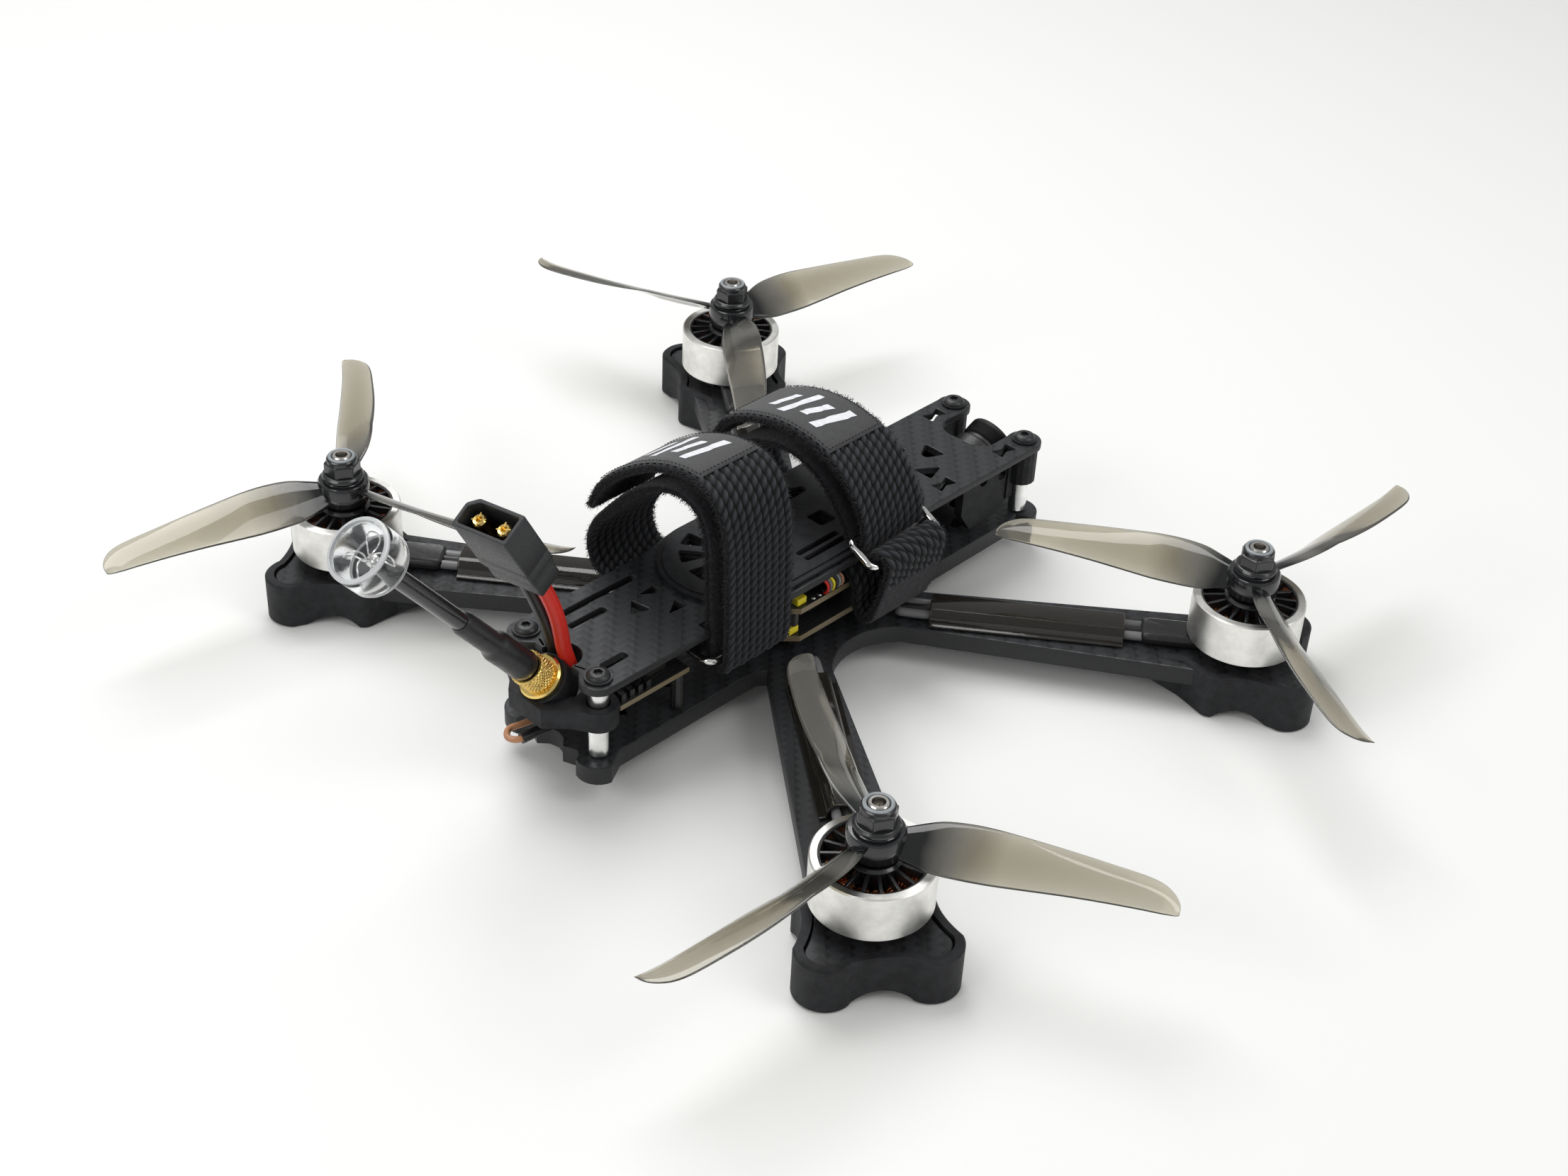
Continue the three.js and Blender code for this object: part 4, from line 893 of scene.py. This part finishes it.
# ---- wiring on the arms ----
def arm_wiring():
    """Each arm's clear cover, its three motor leads, and the ribbed sleeve where they end."""
    profile = [(-6.25, 11.85), (-4.0, 11.85), (-3.95, 13.6), (-2.9, 15.05), (2.9, 15.05), (3.95, 13.6),
               (4.0, 11.85), (6.25, 11.85), (6.25, 12.35), (4.75, 12.45), (4.6, 14.0), (3.4, 15.75),
               (-3.4, 15.75), (-4.6, 14.0), (-4.75, 12.45), (-6.25, 12.35)]
    rows = [[(x, y, z) for y, z in profile] for x in (36.05, 36.4, 84.6, 84.95)]
    verts, faces = grid(rows, closed_v=True)
    faces += [face[::-1] for face in ends(rows)]
    loop = rounded([(89.2, -3.5), (91, -4.2), (104.8, -4.2), (104.8, 4.2), (91, 4.2), (89.2, 3.5)], 0.9)
    plain = slab(loop, 11.85, 15.05, edge=0.9)
    ribbed = [(x, y, z - 0.25 * (z > 13.4) * abs(math.cos(y * 1.31)) ** 3) for x, y, z in plain[0]]
    for corner in CORNERS:
        skin = bevel(mesh_object("cover_" + corner, *arm_frame((verts, faces), corner)), 0.22, 2, 20)
        store(skin, "reach", [1.0] * len(skin.data.vertices))
        link(skin, M["cover"], "airframe", ["wire_cover_" + corner])
        for number, (y, look) in enumerate(((-2.4, "lead_grey"), (0, "black_silicone"), (2.4, "lead_grey"))):
            line = even(catmull([(27.7, y * 0.8, 13.25), (32, y, 13.1), (60, y * 1.02, 13.1),
                                 (86, y * 0.95, 13.1), (96, y, 13.1)], 10), 1.2)
            node = None if number else "motor_leads_" + corner
            piece(f"lead_{corner}_{number}", arm_frame(sweep(line, 1.18, 14), corner), look,
                  node, crease=0)
        part = arm_frame((ribbed, plain[1]), corner)
        piece("lead_sleeve_" + corner, part, "shrink", crease=0)


# ---- battery straps ----
REAR_LINE = [(-26, 47.5), (-22.3, 54.5), (-14.5, 61.8), (-4.5, 68), (5.5, 71), (13, 70.2), (18, 65.5),
             (20.2, 58), (21, 48), (21.4, 38), (21.5, 29.5), (21.25, 25.6), (20.45, 23.66), (18.5, 22.85),
             (16.55, 23.66), (15.75, 25.6), (15.3, 30), (14.9, 38), (14.4, 48), (13.4, 57.5), (10.4, 63.4),
             (4, 65.2), (-4, 62.6), (-12, 56.8), (-19, 49.4), (-24, 43), (-26.2, 37), (-24.8, 31.6),
             (-20.4, 29.3), (-12, 29.2), (-2, 29.2), (5.4, 29.2), (9.5, 28.35), (11.44, 27.54), (12.25, 25.6),
             (11.44, 23.66), (9.5, 22.85), (7.56, 23.66), (6.9, 24.9)]
FRONT_LINE = [(-29.5, 47.4), (-26, 52.4), (-17, 57), (-6.5, 59.4), (4, 58.6), (12, 55.4), (17.9, 49.8),
              (21.2, 44.2), (22.1, 39.4), (21.3, 37.42), (19.35, 36.6), (17.4, 37.42), (16.4, 39.6),
              (12.6, 45), (6.6, 50.8), (-2, 53.8), (-10, 53), (-18.5, 49.6), (-24.6, 44.8), (-27.4, 39),
              (-26.4, 33),
              (-21.4, 29.5), (-12, 29.2), (0, 29.2), (10, 29.2), (17, 28.8), (20.2, 25.4), (20.6, 20.4),
              (22.6, 17.4), (25.6, 18.6), (27.6, 24), (29.4, 30.5), (30.2, 35.4), (29.4, 37.4), (27.45, 38.2),
              (25.5, 37.4), (24.7, 35.4), (25.2, 33.7)]
REAR_FOLD, FRONT_FOLD = 640, 500  # the step past which the inner face is knitted too
WEB_HALF, WEB_THICK = 10.5, 2.3
WEB_STEP, ACROSS = 0.42, 76  # length of a step along the webbing, and points across one face
COLUMN, LINK = 2.34, 2.35  # width of one knitted column and length of one link in it
REAR_MIDDLE, FRONT_MIDDLE = -34, 12  # where each strap lies along Y
EDGE_HAIRS, TAIL_HAIRS = 9, 1500  # loose ends at each step of an edge, and across the tail
LABEL_HALF, LABEL_LIFT = 9.6, WEB_THICK / 2 + 0.42
RELIEF, RIM = 0.85, 0.7  # depth of the knit, and how far in from an edge the webbing thins


def outward(path, i):
    """The outer normal of the webbing at a step of its line, and the way along it."""
    ahead, behind = path[min(i + 1, len(path) - 1)], path[max(i - 1, 0)]
    along = (ahead - behind).normalized()
    return Vector((-along.z, 0, along.x)), along


def web_uv(obj, uvs):
    """Stores one UV for each vertex."""
    layer = obj.data.uv_layers.new(name="web")
    for loop in obj.data.loops:
        layer.data[loop.index].uv = uvs[loop.vertex_index]


def knit_height(u, v):
    """Relief of the chain-knit face, 0 to 1: columns of slanting links along the webbing."""
    column = v / COLUMN
    c = column - math.floor(column)
    phase = u / LINK + 0.85 * c + 0.5 * (math.floor(column) % 2)
    links = 0.5 + 0.5 * math.cos(2 * math.pi * phase)
    ridge = math.sin(math.pi * c) ** 0.6
    return ridge * (0.12 + 0.88 * links ** 0.6)


def strap(name, line, middle, node, fold):
    """Webbing along a line in XZ: knitted outside, pile inside, and knitted on both faces past the fold."""
    path = even(catmull([(x, 0, z) for x, z in line], 10), WEB_STEP)
    rows, relief, uvs = [], [], []
    for i, at in enumerate(path):
        out, _ = outward(path, i)
        u = i * WEB_STEP
        sway = 0.25 * math.sin(u / 17.0) + 0.12 * math.sin(u / 5.3 + 1)
        row = []
        for k in range(2 * ACROSS):
            outer, share = k < ACROSS, 2 * WEB_HALF * (k % ACROSS) / (ACROSS - 1)
            v = -WEB_HALF + share if outer else WEB_HALF - share
            height, rim = knit_height(u, v + WEB_HALF), min(1.0, (WEB_HALF - abs(v)) / RIM)
            knitted = RELIEF * (height - 0.75)
            if outer:
                bite = 0.12 * math.sin(u * 3.9 + k) if k in (0, ACROSS - 1) else 0.0
                point = at + out * (WEB_THICK / 2 - 0.55 * (1 - rim) ** 2 + knitted * rim)
                y = middle + v * (1 + 0.004 * math.sin(u / 9)) + bite
            else:
                proud = knitted if i > fold else random.uniform(-0.16, 0.16)
                point = at - out * (WEB_THICK / 2 - 0.5 * (1 - rim) ** 2 + proud * rim)
                y = middle + v * 0.995
            row.append((point.x, y + sway * 0.4, point.z))
            relief.append(height)
            uvs.append((u, v))
        rows.append(row)
    verts, faces = grid(rows, closed_v=True)
    obj = mesh_object(name, verts, faces + ends(rows))
    obj.data.materials.append(M["knit"])
    obj.data.materials.append(M["pile"])
    store(obj, "relief", relief)
    web_uv(obj, uvs)
    for polygon in obj.data.polygons:
        first = min(polygon.vertices)
        knitted = first % (2 * ACROSS) < ACROSS - 1 or first // (2 * ACROSS) > fold
        polygon.material_index = 0 if knitted and len(polygon.vertices) == 4 else 1
    link(obj, None, "airframe", [node])
    return path


def fringe(name, path, middle):
    """Loose yarn ends along both edges and at the tail."""
    verts, faces = [], []

    def hair(at, direction, length):
        side = direction.cross(Vector((0.3, 0.5, 0.8))).normalized() * 0.085
        bend = Vector([random.uniform(-0.3, 0.3) for _ in range(3)]) * length
        mid, tip = at + direction * length * 0.55 + bend * 0.4, at + direction * length + bend
        start = len(verts)
        verts.extend(tuple(p) for p in (at - side, at + side, mid + side * 0.8, mid - side * 0.8, tip))
        faces.extend([(start, start + 1, start + 2, start + 3), (start + 3, start + 2, start + 4)])

    for i in range(1, len(path) - 1):
        out, along = outward(path, i)
        for edge in (-1, 1):
            for _ in range(EDGE_HAIRS):
                rim = Vector((0, middle + edge * (WEB_HALF - 0.15), 0))
                spot = path[i] + out * random.uniform(-1.0, 1.0) + rim
                way = (Vector((0, edge, 0)) + out * random.uniform(-0.9, 0.9)
                       + along * random.uniform(-0.8, 0.8)).normalized()
                hair(spot, way, random.uniform(0.3, 1.25))
    back = (path[0] - path[2]).normalized()
    for _ in range(TAIL_HAIRS):
        spot = path[0] + Vector((0, middle + random.uniform(-WEB_HALF, WEB_HALF), 0))
        spot += Vector((-back.z, 0, back.x)) * random.uniform(-1.0, 1.0)
        way = (back + Vector([random.uniform(-0.6, 0.6) for _ in range(3)])).normalized()
        hair(spot, way, random.uniform(0.4, 1.9))
    piece(name, (verts, faces), "pile", crease=0)


def patch(path, start, stop, middle):
    """A thin patch that lies on the webbing's outer face between two distances along it."""
    rows, uvs = [], []
    steps = range(int(start / WEB_STEP), int(stop / WEB_STEP) + 1)
    for i in steps:
        out, _ = outward(path, i)
        row = []
        for k in range(13):
            v = -LABEL_HALF + 2 * LABEL_HALF * k / 12
            fade = 0.35 if k in (0, 12) or i in (steps[0], steps[-1]) else 0.0
            point = path[i] + out * (LABEL_LIFT - fade)
            row.append((point.x, middle + v, point.z))
            uvs.append((i * WEB_STEP, v))
        rows.append(row)
    return grid(rows), uvs


def label(name, path, middle, start, stop):
    """A satin patch with a stitched border and plain slanted bars."""
    part, uvs = patch(path, start, stop, middle)
    web_uv(piece(name, part, "label", crease=0), uvs)
    bars = []
    for k in range(4):
        at, short = stop - 6.5 - k * 5.2, 0.62 if k % 2 else 1
        rows = []
        for v in (-6.0 + 12.0 * j / 8 for j in range(9)):
            row = []
            for e in range(4):
                i = int((at + 0.22 * v - 2.4 * e / 3) / WEB_STEP)
                point = path[i] + outward(path, i)[0] * (LABEL_LIFT + 0.07)
                row.append((point.x, middle + v * short, point.z))
            rows.append(row)
        bars.append(grid(rows))
    obj = piece(name + "_bars", merge(*bars), "mark", crease=0)
    web_uv(obj, [(v.co / MM)[:2] for v in obj.data.vertices])
    stitches = []

    def stitch(i, v, half):
        out, along = outward(path, i)
        at = path[i] + out * (LABEL_LIFT + 0.02) + Vector((0, middle + v, 0))
        step = half or along * 0.4
        stitches.append(sweep([at - step, at + out * 0.1, at + step], 0.11, 6))

    for i in range(int((start + 1) / WEB_STEP), int((stop - 0.8) / WEB_STEP), 3):
        stitch(i, -9.1, None)
        stitch(i, 9.1, None)
    for edge in (start + 0.7, stop - 0.7):
        for k in range(16):
            stitch(int(edge / WEB_STEP), -8.7 + k * 1.16, Vector((0, 0.36, 0)))
    piece(name + "_stitches", merge(*stitches), "pile", crease=0)


def ring(name, node, at, tip):
    long, short, bend = 12.6, 4.5, 2.2
    loop = []
    for turn, (sx, sy) in enumerate(((1, 1), (-1, 1), (-1, -1), (1, -1))):
        loop += arc(sx * (short - bend), sy * (long - bend), bend, turn * 90, turn * 90 + 90, 8)
    line = even([Vector((x, y, 0)) for x, y in loop + loop[:1]], 0.5)
    part = placed(sweep(line, 0.93, 20, closed=True), at, spin(tip, "Y"))
    piece(name, part, "ring", node, crease=0)


def straps():
    rear = strap("strap_web_rear", REAR_LINE, REAR_MIDDLE, "strap_rear", REAR_FOLD)
    front = strap("strap_web_front", FRONT_LINE, FRONT_MIDDLE, "strap_front", FRONT_FOLD)
    fringe("strap_fringe_rear", rear, REAR_MIDDLE)
    fringe("strap_fringe_front", front, FRONT_MIDDLE)
    label("strap_label_rear", rear, REAR_MIDDLE, 8, 46)
    label("strap_label_front", front, FRONT_MIDDLE, 8, 42)
    ring("ring_rear", "strap_ring_rear", (14, REAR_MIDDLE, 25.6), 0)
    ring("ring_front", "strap_ring_front", (23.4, FRONT_MIDDLE, 37.4), 0.45)


# ---- antenna ----
def along_antenna(part):
    return placed(part, ANTENNA_ROOT, spin(ANTENNA_LEAN, "X"))


KNURLS, KNURL_TWIST, KNURL_DEPTH = 13, 2.9, 0.42


def knurl(radius, height):
    """The nut's radius at a height: where it is wide, two crossing sets of grooves cut it."""
    def cut(angle):
        turn, climb = KNURLS * angle, KNURL_TWIST * height
        return radius - KNURL_DEPTH * (1 - abs(math.sin(turn + climb) * math.sin(turn - climb))) ** 3
    return cut if radius > 4.2 else radius


def knurled_nut():
    profile = [(3.0, 1.9), (4.05, 1.9)] + [(4.3, 2.2 + 0.14 * k) for k in range(38)]
    profile += [(4.0, 7.6), (4.0, 7.95), (3.0, 7.95)]
    verts, faces = grid([turn_row(knurl(r, z), z, 216) for r, z in profile], closed_v=True)
    return verts, [face[::-1] for face in faces]


def antenna():
    """Printed mount, gold plug with a knurled nut, sleeved stem and clear cap."""
    side = [(POST[0], -71.6)] + arc(POST[0], -POST[1], 4.8, 90, -70, 14) + [(10.2, -83.2), (5.6, -87.9)]
    outline = side + mirror_x(side) + [(-6.9, -71.4), (-6.9, -79.2), (6.9, -79.2), (6.9, -71.4)]
    holes = [circle(x * POST[0], -POST[1], POST_WAY) for x in (-1, 1)]
    boss = along_antenna(lathe([(3.3, -6), (6.3, -6), (6.3, 0.25), (3.3, 0.25)], 48))
    mount = merge(slab(outline, 21.0, 26.6, holes, 0.3), boss)
    piece("antenna_mount_print", mount, "printed", "antenna_mount")
    flange = lathe([(2.8, 0.35), (5.3, 0.35), (5.55, 0.6), (5.55, 1.5), (5.1, 1.95), (2.8, 1.95)], 64)
    thread = [(0.01, -6)]
    for k in range(9):
        thread += [(3.05, -5.9 + k * 0.7), (2.75, -5.55 + k * 0.7)]
    thread += [(2.75, 0.4), (0.01, 0.4)]
    lid = lathe([(0.01, 7), (3.1, 7), (3.1, 7.9), (0.01, 7.9)], 32)
    gold = along_antenna(merge(flange, knurled_nut(), lathe(thread, 32), lid))
    piece("antenna_plug_gold", gold, "gold", "antenna_plug", crease=30)
    sleeve = [(0.01, 8.3), (3.5, 8.3), (3.7, 8.7), (3.76, 12), (3.7, 16), (3.76, 20.6), (3.5, 21.5),
              (2.98, 22.3), (2.86, 23.2), (2.86, 34.6), (2.6, 35.4), (2.3, 36), (0.01, 36.1)]
    tube = lathe([(0.01, 35.9), (2.12, 35.9), (2.16, 36.4), (2.12, 50), (2.16, 66.4), (0.01, 66.5)], 48)
    piece("antenna_stem_tube", along_antenna(tube), "black_metal", crease=50)
    skin = along_antenna(lathe(sleeve, 48))
    piece("antenna_stem_sleeve", skin, "shrink", "antenna_stem", crease=50)
    shell = [(0.01, 66.95), (6.7, 66.95), (7.2, 67.2), (7.46, 67.7), (7.46, 74.7), (7.2, 75.2), (6.9, 75.36),
             (6.4, 75.3), (6.25, 74.9), (0.01, 74.9), (0.01, 74.2), (6.2, 74.2), (6.7, 73.9), (6.7, 68),
             (6.3, 67.6), (0.01, 67.6)]
    cap = along_antenna(lathe(shell, 72))
    piece("antenna_cap_clear", cap, "clear", "antenna_cap", crease=40)
    rims = merge(lathe([(6.5, 74.7), (7.42, 74.5), (7.4, 75.1), (7.05, 75.4), (6.55, 75.4)], 64),
                 lathe([(6.5, 67.0), (7.2, 67.1), (7.4, 67.6), (6.6, 67.7)], 64))
    piece("antenna_cap_rims", along_antenna(rims), "rim")
    loop = [Vector((3.3 + 2.6 * math.cos(a), 0.5 * math.sin(2 * a), 70.8 + 2.4 * math.sin(a)))
            for a in (2 * math.pi * i / 28 for i in range(28))]
    wire = sweep(loop, 0.2, 8, closed=True)
    lobes = [placed(wire, turn=spin(k * math.pi / 2 + 0.4)) for k in range(4)]
    lobes.append(lathe([(0.01, 67.7), (1.6, 67.7), (1.6, 69), (0.01, 69)], 24))
    piece("antenna_lobes", along_antenna(merge(*lobes)), "tin", crease=0)


# ---- camera under the nose ----
def tilted(part):
    return placed(part, CAMERA_PIVOT, spin(CAMERA_TILT, "X"))


def facing_forward(part):
    return placed(part, turn=spin(-math.pi / 2, "X"))


def video_camera():
    collar = lathe([(0.01, 4.9), (7.15, 4.9), (7.15, 7.9), (6.7, 8.35), (0.01, 8.35)], 56)
    shell = merge(block(-8.95, 8.95, -5.4, -3.6, -7.2, 7.2), block(-8.95, 8.95, -3.4, 5.1, -7.2, 7.2),
                  block(-8.6, 8.6, -3.7, -3.3, -6.9, 6.9), facing_forward(collar))
    piece("camera_case", tilted(shell), "case", "camera_body", "camera", edge=0.35)
    barrel = [(0.01, 8.75), (5.95, 8.75), (5.95, 9.6), (6.3, 9.8)]
    for k in range(7):
        barrel += [(6.68, 10.2 + k * 0.48), (6.42, 10.42 + k * 0.48)]
    barrel += [(6.66, 13.8), (6.45, 14.35), (5.7, 14.35), (5.4, 14.0), (4.7, 13.2), (4.6, 12.4), (0.01, 12.4)]
    tube = tilted(facing_forward(lathe(barrel, 64)))
    piece("camera_barrel", tube, "case", "camera_lens", "camera", 30)
    dome = [(0.01, 12.4), (4.55, 12.4), (4.5, 12.6), (3.6, 13.2), (2.2, 13.6), (0.8, 13.75), (0.01, 13.76)]
    glass = tilted(facing_forward(lathe(dome, 48)))
    piece("camera_glass", glass, "glass", body="camera", crease=0)
    keep("camera_bracket_left", M["printed"])
    keep("camera_bracket_right", M["printed"])


# ---- electronics between the plates ----
def pads(x0, x1, y0, y1, z, step=2.2, size=0.7):
    """Rows of tinned pads, as a little raised solder on each."""
    pad = lathe([(0.01, 0), (size, 0), (size * 0.8, 0.22), (0.01, 0.34)], 12)
    places = [(x0 + i * step, y0 + k * step, z)
              for i in range(int((x1 - x0) / step) + 1) for k in range(int((y1 - y0) / step) + 1)]
    return merge(*(placed(pad, at) for at in places))


def electronics():
    for node in ("esc_board", "flight_controller", "video_transmitter"):
        keep(node, M[node])
    keep("boot_button", M["tin"])
    caps = []
    for x, y, z in ((15.2, -15.4, 17.45), (15.4, -13.2, 25.25), (12.2, -15.5, 17.45)):
        caps.append(block(x - 1.1, x + 1.1, y - 1.6, y + 1.6, z, z + 1.9))
    piece("tantalum_caps", merge(*caps), "tantalum", edge=0.2)
    tinned = [pads(-15.6, 15.6, -17.0, -17.0, 17.42), pads(-15.6, 15.6, 17.0, 17.0, 17.42),
              pads(-15, 15, 16.4, 16.4, 25.22), pads(16.3, 16.3, -9, 11, 25.22)]
    for x in (-9, -4.4, 6, 10.5):
        tinned += [block(x - 0.9, x + 0.9, y - 0.6, y + 0.6, 25.25, 26.1) for y in (-9.4, 7.4)]
    tinned.append(block(-8.6, 9.6, -67.6, -53.4, 27.05, 27.36))
    piece("board_solder", merge(*tinned), "tin")
    chips = [block(-3.4, 3.4, -3.4, 3.4, 26.2, 26.5), block(7.4, 12.6, -11.6, -7.4, 26.6, 26.9),
             block(-12.6, -7.4, 5.4, 10.6, 26.3, 26.6), block(-16.9, -14.5, -4.6, 4.6, 26.6, 26.9)]
    piece("board_chips", merge(*chips), "chip", edge=0.1)
    for number, look in enumerate(("red", "lead_grey", "tantalum", "black_silicone", "nylon", "coax")):
        y = -6 + number * 1.05
        route = [(17.1, y, 25.7), (18.1, y, 26.6), (18.4, y - 0.4, 29), (16.8, y - 1.5, 30.4),
                 (13, y - 5, 30.2), (9, y - 12, 29.9), (7, y - 24, 30.0), (4, y - 42, 28.6)]
        piece("loom_" + look, sweep(even(catmull(route, 8), 0.5), 0.42, 8), look, crease=0)


def keep(node, material):
    """Shows a CAD node itself, in a finer finish and with its edges eased."""
    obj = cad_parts[node]
    obj.data.materials.clear()
    obj.data.materials.append(material)
    sharp(obj, 40)
    bevel(obj, 0.22, 2, 40)


# ---- floor and light ----
def stage():
    half = 3000
    corners = [(-half, -half, 0), (half, -half, 0), (half, half, 0), (-half, half, 0)]
    floor = mesh_object("floor", corners, [(0, 1, 2, 3)])
    floor.data.materials.append(M["floor"])
    bpy.context.scene.collection.objects.link(floor)
    bpy.context.scene.view_settings.view_transform = "Standard"
    world = bpy.data.worlds.new("studio")
    bpy.context.scene.world = world
    world.use_nodes = True
    sky = world.node_tree.nodes["Background"].inputs
    sky["Color"].default_value, sky["Strength"].default_value = (0.97, 0.98, 0.98, 1), 0.44
    lamps = [((-420, 100, 900), 700, 700, 7.0), ((700, 250, 700), 420, 700, 2.6),
             ((-150, -900, 620), 800, 300, 3.0)]
    for number, (at, wide, tall, power) in enumerate(lamps):
        data = bpy.data.lights.new(f"softbox_{number}", "AREA")
        data.shape, data.size, data.size_y, data.energy = "RECTANGLE", wide * MM, tall * MM, power
        lamp = bpy.data.objects.new(data.name, data)
        lamp.location = Vector(at) * MM
        lamp.rotation_euler = (-Vector(at)).to_track_quat("-Z", "Y").to_euler()
        bpy.context.scene.collection.objects.link(lamp)


add_camera()
leads()
feet()
main_plate()
top_plate()
battery_pad()
fasteners()
motors()
arm_wiring()
straps()
antenna()
video_camera()
electronics()
stage()
bpy.context.view_layer.update()
